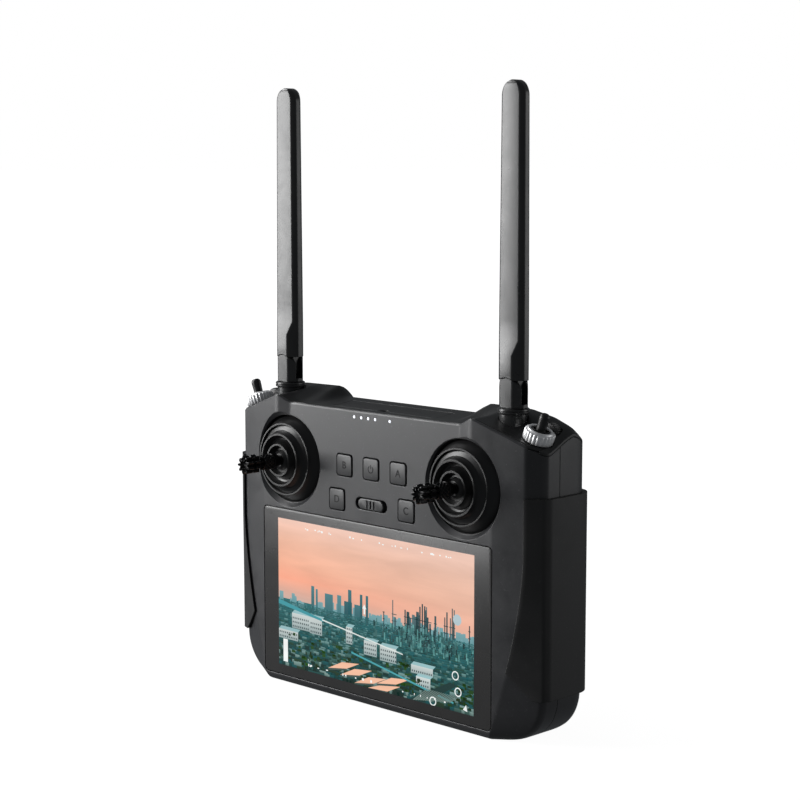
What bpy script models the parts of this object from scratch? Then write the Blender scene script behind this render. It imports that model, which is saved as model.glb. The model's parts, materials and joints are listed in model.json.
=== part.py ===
"""Handheld radio controller with a built-in screen, two sticks and two folding antennas.

Frame: the origin is the centre of the flat bottom that the controller stands on. +X is
to the right of someone looking at the screen, +Y points away from them, +Z is up.
Numbers are millimetres until a mesh is made, and meshes are in metres.
"""

import math

import bmesh
import bpy
from mathutils import Matrix, Vector

MM = 0.001
GAP = 0.3                     # clearance left between neighbouring pieces
WELD = 0.004                  # corners nearer than this are one corner

# Case
FRONT = -17.0                 # the flat middle of the front face
BACK = 20.0
HALF_WIDTH = 92.0
CORNER_RADIUS = 19.0          # bottom corners, seen from the front
FRONT_EDGE_RADIUS = 4.0
BACK_EDGE_RADIUS = 6.0
BACK_CORNER_RADIUS = 9.0
WALL = 2.4
LIP = 1.2                     # wall left around the top cover
COVER_THICKNESS = 2.5
CASE_TOP = 150.0              # the case outline runs up to here before the deck cuts it
PARTING = 0.0                 # front and rear shells meet in this plane

# Front face: a raised shoulder from RAMP_START to the ridge, then a wing that falls back
RAMP_START = 52.0
RIDGE = 59.4
WING_START = 70.2
WING_SLOPE = 0.153
SHOULDER_LOW = 98.0
SHOULDER_HIGH = 112.0
CREASE_TOP = 86.0
CREASE_SWEEP = 17.5
CREASE_END = 78.4
CREASE_POWER = 1.6
FACET_DEPTH = 7.5

# Deck heights along X at its front and rear edges, each as straight runs
DECK_FRONT_Y = FRONT - 2.0
DECK_REAR_Y = 8.0
DECK_FRONT = ((0, 130.8), (RAMP_START, 130.8), (RIDGE, 134.4), (88.5, 123.8), (92.5, 120.2), (100, 112))
DECK_REAR = ((0, 132.4), (42, 132.4), (46, 136.9), (69, 136.6), (80, 134.5), (88.5, 131.4),
             (92.5, 128.0), (100, 120))
DECK_CURVE = ((0.0, 0.0), (0.42, 0.1), (0.62, 0.4), (0.85, 0.85), (1.0, 1.0))    # way back, share of the rise
SIDE_BAND = (FRONT + 3.2, BACK - 4.0)     # here the top cover runs out to the side wall
SIDE_DROP = 1.1                           # and is this thick
DECK_FALL = ((4.0, 1.6), (8.0, 5.0), (12.5, 12.0), (24.0, 44.0))   # behind the rear edge: way back, drop

# Screen
GLASS_SIZE = (140.7, 77.3)
GLASS_CENTRE_Z = 43.05
GLASS_THICKNESS = 1.2
DISPLAY_SIZE = (125.4, 72.0)
DISPLAY_DEPTH = 4.0

# Buttons
BUTTON_SIZE = 9.4
BUTTON_RADIUS = 1.2
BUTTON_PROUD = 0.35
BUTTON_PLACES = {
    "button_b": (-16.6, 106.2),
    "button_power": (0.0, 106.2),
    "button_a": (16.6, 106.2),
    "button_d": (-21.4, 90.6),
    "button_c": (21.4, 90.6),
}
SLIDER_Z = 90.6
SLOT_SIZE = (19.3, 5.3)
KNOB_SIZE = (15.5, 4.7)
LIGHT_X = (-10.6, -6.2, -1.9, 2.4, 11.3)
LIGHT_Z = 128.2
LIGHT_RADIUS = 0.65

# Stick gimbals
GIMBAL_X = 53.8
GIMBAL_Z = 105.0
PIVOT_Y = -7.0
POCKET_RADIUS = 20.1
YOKE_RADIUS = 13.0
PIVOT_PIN = 1.5
SHAFT_RADIUS = 1.6
STICK_LENGTH = 36.5

# Toggle switches
TOGGLE_AT = Vector((84.5, -5.5, 126.1))
TOGGLE_LEAN = math.radians(21)
TOGGLE_SEAT = 6.8
TOGGLE_BUSH = 3.8
TOGGLE_PIVOT = 2.5

# Dials
DIAL_AT = Vector((83.2, 3.3, 127.4))
DIAL_RADIUS = 6.0
DIAL_WIDTH = 3.6

# Antennas
ANTENNA_X = 68.4
ANTENNA_Y = -1.95
COLLAR_TOP = 138.0
COLLAR_NECK = 5.9
COLLAR_FLANGE = 6.75
FOLD_Z = 143.9
KNUCKLE_RADIUS = 6.6
SHOULDER_Z = 150.85
BEVEL_LOW = 160.0
BEVEL_HIGH = 166.0
TIP_Z = 271.4
TIP_RADIUS = 6.3

# Port flap in the deck
FLAP_HALF = 31.0
FLAP_FRONT_Y = -10.0
FLAP_REAR_Y = 2.0
FLAP_THICKNESS = 1.6

MATERIALS = {
    "case_plastic": ((0.07, 0.07, 0.075), 0.55, 0.0),
    "deck_plastic": ((0.03, 0.03, 0.032), 0.5, 0.0),
    "grip_rubber": ((0.02, 0.02, 0.02), 0.8, 0.0),
    "boot_rubber": ((0.012, 0.012, 0.013), 0.6, 0.0),
    "screen_glass": ((0.02, 0.02, 0.025), 0.08, 0.0),
    "button_plastic": ((0.06, 0.06, 0.062), 0.5, 0.0),
    "black_metal": ((0.02, 0.02, 0.02), 0.35, 1.0),
    "chrome": ((0.85, 0.85, 0.85), 0.15, 1.0),
    "steel": ((0.5, 0.5, 0.5), 0.35, 1.0),
    "antenna_plastic": ((0.04, 0.04, 0.042), 0.5, 0.0),
    "light_guide": ((0.9, 0.9, 0.9), 0.3, 0.0),
    "circuit_board": ((0.02, 0.12, 0.05), 0.5, 0.0),
    "battery_wrap": ((0.05, 0.08, 0.2), 0.5, 0.0),
    "inner_plastic": ((0.05, 0.05, 0.05), 0.6, 0.0),
}


# ---------------------------------------------------------------- shape helpers

def clear_scene():
    """Remove every object that the start-up file brought."""
    for item in list(bpy.data.objects):
        bpy.data.objects.remove(item, do_unlink=True)


def as_object(bm):
    """Turn millimetre geometry into an object in metres, with its faces pointing out."""
    bmesh.ops.recalc_face_normals(bm, faces=bm.faces)
    bmesh.ops.triangulate(bm, faces=bm.faces)
    bmesh.ops.scale(bm, vec=(MM, MM, MM), verts=bm.verts)
    mesh = bpy.data.meshes.new("shape")
    bm.to_mesh(mesh)
    bm.free()
    item = bpy.data.objects.new("shape", mesh)
    bpy.context.collection.objects.link(item)
    return item


def combine(base, tool, operation):
    """Apply one Boolean of base with tool, and remove the tool."""
    modifier = base.modifiers.new("combine", "BOOLEAN")
    modifier.operation = operation
    modifier.solver = "EXACT"
    modifier.object = tool
    graph = bpy.context.evaluated_depsgraph_get()
    mesh = bpy.data.meshes.new_from_object(base.evaluated_get(graph))
    base.modifiers.clear()
    base.data = mesh
    bpy.data.objects.remove(tool, do_unlink=True)
    weld(mesh)
    return base


def weld(mesh):
    """Close the hair-thin slivers that a Boolean can leave, and merge the faces that it split."""
    bm = bmesh.new()
    bm.from_mesh(mesh)
    bmesh.ops.remove_doubles(bm, verts=bm.verts, dist=WELD * MM)
    bmesh.ops.dissolve_degenerate(bm, edges=bm.edges, dist=WELD * MM)
    bmesh.ops.dissolve_limit(bm, angle_limit=math.radians(0.15), verts=bm.verts, edges=bm.edges)
    bmesh.ops.triangulate(bm, faces=bm.faces)
    bm.to_mesh(mesh)
    bm.free()


def cut(base, tool):
    return combine(base, tool, "DIFFERENCE")


def join(base, tool):
    return combine(base, tool, "UNION")


def common(base, tool):
    return combine(base, tool, "INTERSECT")


def bridge(bm, rings):
    """Close a stack of equal rings into one solid with flat ends."""
    loops = []
    for ring in rings:
        loops.append([bm.verts.new(point) for point in ring])
    count = len(loops[0])
    for low, high in zip(loops, loops[1:]):
        for i in range(count):
            j = (i + 1) % count
            bm.faces.new((low[i], low[j], high[j], high[i]))
    bm.faces.new(loops[0])
    bm.faces.new(loops[-1])


def lofted(rings):
    bm = bmesh.new()
    bridge(bm, rings)
    return as_object(bm)


def prism(outline, low, high, axis):
    """Extrude an outline. It holds (x, y) pairs for axis Z, (x, z) for Y, (y, z) for X."""
    def placed(pair, along):
        first, second = pair
        return {"X": (along, first, second), "Y": (first, along, second), "Z": (first, second, along)}[axis]
    return lofted([[placed(pair, along) for pair in outline] for along in (low, high)])


def box(low, high):
    outline = ((low[0], low[1]), (high[0], low[1]), (high[0], high[1]), (low[0], high[1]))
    return prism(outline, low[2], high[2], "Z")


def rounded(width, height, radius, centre=(0.0, 0.0), steps=2):
    """Outline of a rectangle with round corners."""
    outline = []
    for quarter, (sx, sy) in enumerate(((1, 1), (-1, 1), (-1, -1), (1, -1))):
        cx = centre[0] + sx * (width / 2 - radius)
        cy = centre[1] + sy * (height / 2 - radius)
        for step in range(steps + 1):
            angle = math.radians(90) * (quarter + step / steps)
            outline.append((cx + radius * math.cos(angle), cy + radius * math.sin(angle)))
    return outline


def circle(radius, steps, centre=(0.0, 0.0)):
    angles = [2 * math.pi * i / steps for i in range(steps)]
    return [(centre[0] + radius * math.cos(a), centre[1] + radius * math.sin(a)) for a in angles]


def turned(profile, steps, place):
    """Spin a (radius, height) profile about the Z axis of place. It may start and end on the
    axis; otherwise it closes on itself as a ring."""
    bm = bmesh.new()
    columns = []
    for radius, height in profile:
        if radius == 0:
            columns.append([bm.verts.new((0, 0, height))] * steps)
            continue
        columns.append([bm.verts.new((x, y, height)) for x, y in circle(radius, steps)])
    pairs = list(zip(columns, columns[1:]))
    if profile[0][0] > 0:
        pairs.append((columns[-1], columns[0]))
    for first, second in pairs:
        for i in range(steps):
            j = (i + 1) % steps
            corners = []
            for vert in (first[i], first[j], second[j], second[i]):
                if vert not in corners:
                    corners.append(vert)
            bm.faces.new(corners)
    bmesh.ops.transform(bm, matrix=place, verts=bm.verts)
    return as_object(bm)


def rod(start, end, radius, steps=12):
    """Round bar between two points."""
    start = Vector(start)
    along = Vector(end) - start
    place = Matrix.Translation(start) @ along.to_track_quat("Z", "Y").to_matrix().to_4x4()
    profile = ((0, 0), (radius, 0), (radius, along.length), (0, along.length))
    return turned(profile, steps, place)


def along_line(points, x):
    """Height of a run of straight pieces at x."""
    for (x0, h0), (x1, h1) in zip(points, points[1:]):
        if x <= x1:
            return h0 + (h1 - h0) * (x - x0) / (x1 - x0)
    return points[-1][1]


def finish(item, name, material, origin=(0.0, 0.0, 0.0)):
    """Name a piece, give it its material and put its origin on its joint's axis."""
    origin = Vector(origin) * MM
    item.name = name
    item.data.name = name
    item.data.transform(Matrix.Translation(-origin))
    item.location = origin
    item.data.materials.clear()
    item.data.materials.append(bpy.data.materials[material])
    item.data.shade_smooth()
    item.data.set_sharp_from_angle(angle=math.radians(32))
    return item


def make_materials():
    for name, (colour, roughness, metallic) in MATERIALS.items():
        material = bpy.data.materials.new(name)
        material.use_nodes = True
        shader = material.node_tree.nodes["Principled BSDF"]
        shader.inputs["Base Color"].default_value = (*colour, 1)
        shader.inputs["Roughness"].default_value = roughness
        shader.inputs["Metallic"].default_value = metallic


def mirrored(point, side):
    return Vector((side * point[0], point[1], point[2]))


# ---------------------------------------------------------------- case outline

def half_width(z, inset):
    if z >= CORNER_RADIUS:
        return HALF_WIDTH - inset
    reach = (CORNER_RADIUS - inset) ** 2 - (CORNER_RADIUS - z) ** 2
    return HALF_WIDTH - CORNER_RADIUS + math.sqrt(max(reach, 0))


def edge_rise(z, inset, radius):
    """How far a face stands back from its plane at height z above the rounded bottom edge."""
    if z >= radius:
        return inset
    return radius - math.sqrt(max((radius - inset) ** 2 - (radius - z) ** 2, 0))


def crease(z):
    """X of the fold where the front wing turns into the side facet."""
    below = max(CREASE_END - z, 0) / CREASE_END
    return CREASE_TOP - CREASE_SWEEP * below ** CREASE_POWER


def section(z, inset, crease_inset):
    """Half outline of the case at height z, from the middle of the front to the back."""
    side = half_width(z, inset)
    front = FRONT + edge_rise(z, inset, FRONT_EDGE_RADIUS)
    back = BACK - edge_rise(z, inset, BACK_EDGE_RADIUS)
    raised = min(max((z - SHOULDER_LOW) / (SHOULDER_HIGH - SHOULDER_LOW), 0), 1)
    ridge = WING_SLOPE * (RIDGE - WING_START) * raised
    crease_x = crease(z) - 0.4 * inset
    crease_y = WING_SLOPE * max(crease_x - WING_START, 0) + crease_inset - inset
    points = [
        (0, front),
        (RAMP_START, front),
        (RIDGE - 1.4, front + 0.86 * ridge),
        (RIDGE, front + ridge),
        (RIDGE + 1.4, front + 0.88 * ridge),
        (min(WING_START, crease_x - 0.6), front),
        (crease_x, front + crease_y),
        (side - 1.2, FRONT + FACET_DEPTH + 0.4 * inset),
        (side, FRONT + FACET_DEPTH + 2.2),
    ]
    radius = BACK_CORNER_RADIUS - inset
    for step in range(4):
        angle = math.radians(30 * step)
        points.append((side - radius + radius * math.cos(angle), back - radius + radius * math.sin(angle)))
    points.append((0, back))
    return points


def case_form(inset, crease_inset=None):
    """The case as one solid, moved in by inset all round. The top runs up past the deck."""
    if crease_inset is None:
        crease_inset = inset
    heights = [CORNER_RADIUS * (1 - math.cos(math.radians(15 * i))) for i in range(7)]
    heights += [1.5, FRONT_EDGE_RADIUS, 27, 36, 46, 56, 66, CREASE_END, SHOULDER_LOW, SHOULDER_HIGH]
    heights = [inset] + [z for z in sorted(heights) if z > inset + 0.3] + [CASE_TOP]
    rings = []
    for z in heights:
        half = section(z, inset, crease_inset)
        other = [(-x, y) for x, y in reversed(half[1:-1])]
        rings.append([(x, y, z) for x, y in half + other])
    return lofted(rings)


def deck_rows(x):
    """Heights of the top surface from front to back at this x."""
    front = along_line(DECK_FRONT, abs(x))
    rear = along_line(DECK_REAR, abs(x))
    rows = [(DECK_FRONT_Y - 6, front)]
    for way, share in DECK_CURVE:
        rows.append((DECK_FRONT_Y + way * (DECK_REAR_Y - DECK_FRONT_Y), front + share * (rear - front)))
    rows += [(DECK_REAR_Y + back, rear - drop) for back, drop in DECK_FALL]
    return rows


def deck_height(x, y):
    return along_line(deck_rows(x), y)


def above_deck(drop):
    """Everything higher than the top surface lowered by drop."""
    half = sorted({abs(x) for x, _ in DECK_FRONT + DECK_REAR})
    xs = [-x for x in reversed(half[1:])] + half
    rings = []
    for x in xs:
        rows = deck_rows(x)
        ring = [(x, y, z - drop) for y, z in rows]
        ring.append((x, rows[-1][0], CASE_TOP + 10))
        ring.append((x, rows[0][0], CASE_TOP + 10))
        rings.append(ring)
    return lofted(rings)


def side_band(inset, drop, gap):
    """The strips beside the deck where the top cover runs out to the side walls."""
    slab = box((-120, SIDE_BAND[0] + gap, 90), (120, SIDE_BAND[1] - gap, 170))
    return common(common(case_form(inset), above_deck(drop)), slab)


# ---------------------------------------------------------------- places that repeat

def toggle_place(side):
    """Matrix with its origin on the toggle's seat and its Z along the toggle."""
    return Matrix.Translation(mirrored(TOGGLE_AT, side)) @ Matrix.Rotation(side * TOGGLE_LEAN, 4, "Y")


def stick_place(side):
    """Matrix with its origin on the gimbal's centre and its Z along the stick."""
    pivot = Vector((side * GIMBAL_X, PIVOT_Y, GIMBAL_Z))
    return Matrix.Translation(pivot) @ Matrix.Rotation(math.radians(90), 4, "X")


def toggle_cylinder(side, radius, low, high):
    profile = ((0, low), (radius, low), (radius, high), (0, high))
    return turned(profile, 20, toggle_place(side))


def dial_cutter(side):
    x, y, z = mirrored(DIAL_AT, side)
    half = DIAL_WIDTH / 2 + GAP
    return rod((x, y - half, z), (x, y + half, z), DIAL_RADIUS + 0.35, 24)


# ---------------------------------------------------------------- case pieces

def case_shells():
    """The hollow case, split into front and rear shells, with the seat for the top cover."""
    shell = cut(case_form(0), above_deck(0))
    shell = cut(shell, case_form(WALL))
    shell = cut(shell, common(case_form(LIP), above_deck(COVER_THICKNESS + GAP)))
    shell = cut(shell, side_band(-1.0, SIDE_DROP + GAP, 0.0))
    for side in (-1, 1):
        shell = cut(shell, toggle_cylinder(side, TOGGLE_SEAT, 0, 14))
    half = GAP / 2
    front = common(shell_copy(shell), box((-120, FRONT - 20, -20), (120, PARTING - half, 170)))
    rear = common(shell, box((-120, PARTING + half, -20), (120, BACK + 20, 170)))
    return front, rear


def shell_copy(item):
    copy = bpy.data.objects.new("shape", item.data.copy())
    bpy.context.collection.objects.link(copy)
    return copy


def front_shell(shell):
    """Openings for the screen, buttons, slider, lights and sticks."""
    centre = (0, GLASS_CENTRE_Z)
    width, height = (size + 2 * GAP for size in GLASS_SIZE)
    seat = rounded(width, height, 2.3, centre)
    shell = cut(shell, prism(seat, FRONT - 5, FRONT + GLASS_THICKNESS + GAP, "Y"))
    width, height = (size + 2 * GAP for size in DISPLAY_SIZE)
    shell = cut(shell, prism(rounded(width, height, 1, centre), FRONT - 5, FRONT + 5, "Y"))
    for place in BUTTON_PLACES.values():
        size = BUTTON_SIZE + 2 * GAP
        outline = rounded(size, size, BUTTON_RADIUS + GAP, place)
        shell = cut(shell, prism(outline, FRONT - 5, FRONT + 5, "Y"))
    slot = rounded(*SLOT_SIZE, SLOT_SIZE[1] / 2 - 0.01, (0, SLIDER_Z))
    shell = cut(shell, prism(slot, FRONT - 5, FRONT + 5, "Y"))
    for x in LIGHT_X:
        shell = cut(shell, rod((x, FRONT - 5, LIGHT_Z), (x, FRONT + 5, LIGHT_Z), LIGHT_RADIUS + GAP, 12))
    for side in (-1, 1):
        x = side * GIMBAL_X
        mouth = ((0, 8), (POCKET_RADIUS + 2.7, 8), (POCKET_RADIUS + 2.7, 14.7), (POCKET_RADIUS, 14.7),
                 (POCKET_RADIUS, 16.6), (POCKET_RADIUS + 1.2, 17.4), (POCKET_RADIUS + 1.2, 26), (0, 26))
        shell = cut(shell, turned(mouth, 36, Matrix.Translation((x, 0, GIMBAL_Z))
                                  @ Matrix.Rotation(math.radians(90), 4, "X")))
    return finish(shell, "front_shell", "case_plastic")


def rear_shell(shell):
    """Vent slots for the fan, speaker holes and the charging port's opening."""
    for row in range(7):
        z = FAN_AT[2] - 12 + 4 * row
        slot = rounded(30, 2, 0.9, (0, z), 3)
        shell = cut(shell, prism(slot, BACK - 6, BACK + 5, "Y"))
    for column in range(-2, 3):
        x = SPEAKER_AT[0] + 4 * column
        slot = rounded(1.8, 16, 0.8, (x, SPEAKER_AT[2]), 3)
        shell = cut(shell, prism(slot, BACK - 6, BACK + 5, "Y"))
    width, depth = PORT_SIZE
    opening = rounded(width + 2 * GAP, depth + 2 * GAP, 1.9, PORT_AT)
    shell = cut(shell, prism(opening, -5, 5, "Z"))
    return finish(shell, "rear_shell", "case_plastic")


def top_cover():
    """The deck with its raised shoulders, seats for what stands on it, and its bosses."""
    cover = common(case_form(LIP + GAP), above_deck(COVER_THICKNESS))
    cover = join(cover, side_band(0.0, SIDE_DROP, GAP))
    bosses = None
    for side in (-1, 1):
        x = side * ANTENNA_X
        parts = [rod((x, ANTENNA_Y, 129.6), (x, ANTENNA_Y, 145), 8.6, 20)]
        parts.append(toggle_cylinder(side, TOGGLE_SEAT + 0.4, -COVER_THICKNESS, 12))
        for part in parts:
            bosses = part if bosses is None else join(bosses, part)
    cover = join(cover, common(bosses, case_form(WALL + GAP)))
    cover = cut(cover, above_deck(0))
    for side in (-1, 1):
        x = side * ANTENNA_X
        cover = cut(cover, rod((x, ANTENNA_Y, COLLAR_TOP - 2.6), (x, ANTENNA_Y, 150), COLLAR_FLANGE + GAP, 24))
        cover = cut(cover, rod((x, ANTENNA_Y, 120), (x, ANTENNA_Y, 150), COLLAR_NECK + GAP, 24))
        cover = cut(cover, toggle_cylinder(side, TOGGLE_SEAT, 0, 14))
        cover = cut(cover, toggle_cylinder(side, TOGGLE_BUSH + GAP, -8, 8))
        cover = cut(cover, dial_cutter(side))
    notch = box((LIGHT_X[0] - 4, FRONT - 5, 120), (LIGHT_X[-1] + 4, FRONT + 5.2, LIGHT_Z + 1.2))
    cover = cut(cover, notch)
    recess = box((-FLAP_HALF - GAP, FLAP_FRONT_Y - GAP, 120), (FLAP_HALF + GAP, FLAP_REAR_Y + GAP, 150))
    cover = cut(cover, common(recess, above_deck(FLAP_THICKNESS + GAP)))
    hole = box((-FLAP_HALF + 2, FLAP_FRONT_Y + 2, 120), (FLAP_HALF - 2, FLAP_REAR_Y - 2, 150))
    cover = cut(cover, hole)
    return finish(cover, "top_cover", "deck_plastic")


def port_flap():
    flap = box((-FLAP_HALF, FLAP_FRONT_Y, 120), (FLAP_HALF, FLAP_REAR_Y, 150))
    flap = cut(common(flap, above_deck(FLAP_THICKNESS)), above_deck(0))
    hinge = (0, FLAP_REAR_Y, deck_height(0, FLAP_REAR_Y))
    return finish(flap, "top_port_flap", "deck_plastic", hinge)


def grip(side, name):
    """Rubber panel that wraps the side, its front edge lying on the crease."""
    top, low, corner = 103.5, 19.8, 30.6
    heights = (corner, 45, 60, CREASE_END, top)
    outline = [(side * 110, top)]
    outline += [(side * (crease(z) - 0.1), z) for z in reversed(heights)]
    outline += [(side * 88.5, low), (side * 110, low)]
    pad = cut(case_form(-2.2, -0.9), case_form(-GAP))
    pad = common(pad, prism(outline, FRONT - 20, BACK + 20, "Y"))
    return finish(pad, name, "grip_rubber")


# ---------------------------------------------------------------- screen, boards and power

FAN_AT = (0.0, 12.0, 84.0)
FAN_SIZE = 38.0
SPEAKER_AT = (-64.0, 12.0, 38.0)
PORT_AT = (0.0, 5.0)
PORT_SIZE = (9.2, 3.6)


def screen():
    centre = (0, GLASS_CENTRE_Z)
    glass = prism(rounded(*GLASS_SIZE, 2, centre), FRONT + 0.05, FRONT + GLASS_THICKNESS, "Y")
    finish(glass, "screen_glass", "screen_glass")
    back = FRONT + GLASS_THICKNESS + GAP
    panel = prism(rounded(*DISPLAY_SIZE, 0.8, centre), back, back + DISPLAY_DEPTH, "Y")
    finish(panel, "display_panel", "inner_plastic")


def boards():
    board = box((-60, -8, 14), (60, -6.4, 80))
    for x, z, size in ((-30, 34, 14), (4, 52, 18), (36, 30, 12)):
        board = join(board, box((x, -6.9, z), (x + size, -4.6, z + size)))
    finish(board, "main_board", "circuit_board")
    board = box((-28, FRONT + 5.4, 84.5), (28, FRONT + 6.8, 112))
    finish(board, "button_board", "circuit_board")
    pack = prism(rounded(92, 46, 3, (0, 37)), 0.5, 16.5, "Y")
    finish(pack, "battery_pack", "battery_wrap")


def fan():
    """Square housing with a round bore, and the rotor that turns in it."""
    x, y, z = FAN_AT
    half = FAN_SIZE / 2
    housing = prism(rounded(FAN_SIZE, FAN_SIZE, 2, (x, z)), y - 4.6, y + 4.6, "Y")
    housing = cut(housing, rod((x, y - 3.4, z), (x, y + 6, z), half - 1.6, 24))
    housing = join(housing, rod((x, y - 4, z), (x, y + 2, z), 1.2, 12))
    housing = cut(housing, rod((x + 11, y - 6, z), (x + 11, y, z), 3, 12))
    finish(housing, "fan_housing", "inner_plastic")
    outline = []
    blades = 9
    hub, reach = 7.5, half - 2.6
    for blade in range(blades):
        start = 2 * math.pi * blade / blades
        sweep = 0.45
        outline.append((x + hub * math.cos(start), z + hub * math.sin(start)))
        outline.append((x + reach * math.cos(start + sweep), z + reach * math.sin(start + sweep)))
        outline.append((x + reach * math.cos(start + sweep + 0.08), z + reach * math.sin(start + sweep + 0.08)))
        outline.append((x + hub * math.cos(start + 0.22), z + hub * math.sin(start + 0.22)))
    rotor = prism(outline, y - 2.8, y + 4, "Y")
    rotor = cut(rotor, rod((x, y - 6, z), (x, y + 2.6, z), 1.5, 12))
    finish(rotor, "fan_rotor", "inner_plastic", FAN_AT)


def speaker():
    x, y, z = SPEAKER_AT
    place = Matrix.Translation((x, y, z)) @ Matrix.Rotation(math.radians(-90), 4, "X")
    profile = ((0, -5), (7, -5), (7, -2), (13, 2), (13, 4.5), (10, 4.5), (4, 2.5), (0, 2.5))
    finish(turned(profile, 16, place), "speaker", "inner_plastic")


def charge_port():
    port = prism(rounded(*PORT_SIZE, 1.7, PORT_AT), 0.4, 9, "Z")
    width, depth = (size - 1.2 for size in PORT_SIZE)
    port = cut(port, prism(rounded(width, depth, 1.1, PORT_AT), -1, 7, "Z"))
    finish(port, "charge_port", "steel")


# ---------------------------------------------------------------- buttons and lights

def push_button(name, place):
    x, z = place
    size = BUTTON_SIZE
    cap = prism(rounded(size, size, BUTTON_RADIUS, place), FRONT - BUTTON_PROUD, FRONT + 3, "Y")
    flange = prism(rounded(size + 1.8, size + 1.8, 1.8, place), FRONT + WALL + GAP, FRONT + 3.9, "Y")
    finish(join(cap, flange), name, "button_plastic", (x, FRONT, z))


def mode_slider():
    width, height = KNOB_SIZE
    centre = (0, SLIDER_Z)
    knob = prism(rounded(width, height, height / 2 - 0.01, centre), FRONT - 0.5, FRONT + 3, "Y")
    for offset in (-1.9, 0, 1.9):
        groove = box((offset - 0.35, FRONT - 2, SLIDER_Z - 1.9), (offset + 0.35, FRONT + 0.3, SLIDER_Z + 1.9))
        knob = cut(knob, groove)
    flange = prism(rounded(24, 8.6, 1, centre), FRONT + WALL + GAP, FRONT + 3.7, "Y")
    finish(join(knob, flange), "mode_slider", "button_plastic", (0, FRONT, SLIDER_Z))


def light_guide():
    bar = box((LIGHT_X[0] - 2.5, FRONT + WALL + GAP, 126.4), (LIGHT_X[-1] + 2.5, FRONT + 4.6, LIGHT_Z + 0.85))
    for x in LIGHT_X:
        bar = join(bar, rod((x, FRONT - 0.08, LIGHT_Z), (x, FRONT + 3.4, LIGHT_Z), LIGHT_RADIUS, 12))
    finish(bar, "status_light_guide", "light_guide")


# ---------------------------------------------------------------- stick gimbals

def gimbal(side, word):
    """One stick: fixed bezel and frame, a yoke that tips up and down, and the stick itself,
    which turns left and right in the yoke. Heights run from the pivot towards the user."""
    place = stick_place(side)
    x = side * GIMBAL_X
    pivot = (x, PIVOT_Y, GIMBAL_Z)

    bezel = ((15.45, 12.3), (16.0, 12.6), (16.5, 12.2), (17.5, 10.4), (18.3, 9.2), (19.8, 9.2),
             (19.8, 7.3), (22.4, 7.3), (22.4, 6.0), (18.9, 6.0), (18.0, 8.15), (16.85, 10.35))
    finish(turned(bezel, 32, place), f"gimbal_bezel_{word}", "boot_rubber")

    frame = box((x - 22, 4, GIMBAL_Z - 22), (x + 22, 6, GIMBAL_Z + 22))
    for sx in (-1, 1):
        low = min(x + sx * 13.9, x + sx * 16.1)
        post = box((low, PIVOT_Y - 2.8, GIMBAL_Z - 2.6), (low + 2.2, 5, GIMBAL_Z + 2.6))
        frame = join(frame, post)
        for sz in (-1, 1):
            corner = (x + sx * 19, GIMBAL_Z + sz * 19)
            frame = join(frame, rod((corner[0], FRONT + 3.4, corner[1]), (corner[0], 5, corner[1]), 2, 12))
    axle = rod((x - 20, PIVOT_Y, GIMBAL_Z), (x + 20, PIVOT_Y, GIMBAL_Z), PIVOT_PIN + GAP)
    finish(cut(frame, axle), f"gimbal_frame_{word}", "inner_plastic")

    ring = turned(((9.5, -2.5), (YOKE_RADIUS, -2.5), (YOKE_RADIUS, 2.5), (9.5, 2.5)), 24, place)
    ring = cut(ring, rod((x, PIVOT_Y, GIMBAL_Z - 12), (x, PIVOT_Y, GIMBAL_Z + 12), PIVOT_PIN + GAP))
    for sx in (-1, 1):
        start = (x + sx * 12.3, PIVOT_Y, GIMBAL_Z)
        ring = join(ring, rod(start, (x + sx * 15.9, PIVOT_Y, GIMBAL_Z), PIVOT_PIN))
    finish(ring, f"gimbal_yoke_{word}", "inner_plastic", pivot)

    hub = ((0, -6), (4, -5), (6, -2), (6, 2), (4, 5), (SHAFT_RADIUS, 6.5), (SHAFT_RADIUS, 34), (0, 34))
    shaft = turned(hub, 16, place)
    pins = rod((x, PIVOT_Y, GIMBAL_Z - 11.6), (x, PIVOT_Y, GIMBAL_Z + 11.6), PIVOT_PIN)
    finish(join(shaft, pins), f"stick_shaft_{word}", "steel", pivot)

    hole = SHAFT_RADIUS + GAP
    boot = ((18.98, 4.03), (18.2, 6.7), (16.9, 9.5), (15.2, 12.0), (13.6, 12.2), (12.8, 13.0),
            (12.2, 15.0), (11.6, 15.45), (10.9, 15.2), (9.9, 13.4), (8.7, 13.4), (7.7, 15.8),
            (7.0, 16.2), (6.2, 15.8), (5.2, 14.3), (3.6, 14.3), (2.9, 15.1), (hole, 15.1),
            (hole, 12.8), (9.4, 11.8), (13.4, 10.6), (16.1, 6.6), (17.6, 4.0))
    finish(turned(boot, 28, place), f"stick_boot_{word}", "boot_rubber", pivot)

    nut = ((hole, 15.5), (2.3, 15.5), (3.5, 20.0), (3.5, 20.6), (hole, 20.6))
    finish(turned(nut, 18, place), f"stick_nut_{word}", "black_metal", pivot)
    sleeve = ((hole, 20.9), (3.3, 20.9), (3.6, 21.2), (3.6, 26.1), (3.3, 26.4), (hole, 26.4))
    finish(turned(sleeve, 18, place), f"stick_sleeve_{word}", "black_metal", pivot)
    cap = ((hole, 26.7), (3.9, 26.7), (4.2, 27.1), (4.2, 35.6), (3.7, STICK_LENGTH), (0, STICK_LENGTH),
           (0, 34.4), (hole, 34.4))
    finish(closed_cap(cap, 18, place), f"stick_cap_{word}", "black_metal", pivot)


def closed_cap(profile, steps, place):
    """A cap with a blind hole: its outside and its hole both end on the axis."""
    outside = [point for point in profile[1:6]]
    body = turned([(0, profile[0][1])] + outside, steps, place)
    radius, depth = profile[-1]
    low = profile[0][1] - 2
    return cut(body, turned(((0, low), (radius, low), (radius, depth), (0, depth)), steps, place))


# ---------------------------------------------------------------- switches in the shoulders

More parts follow.
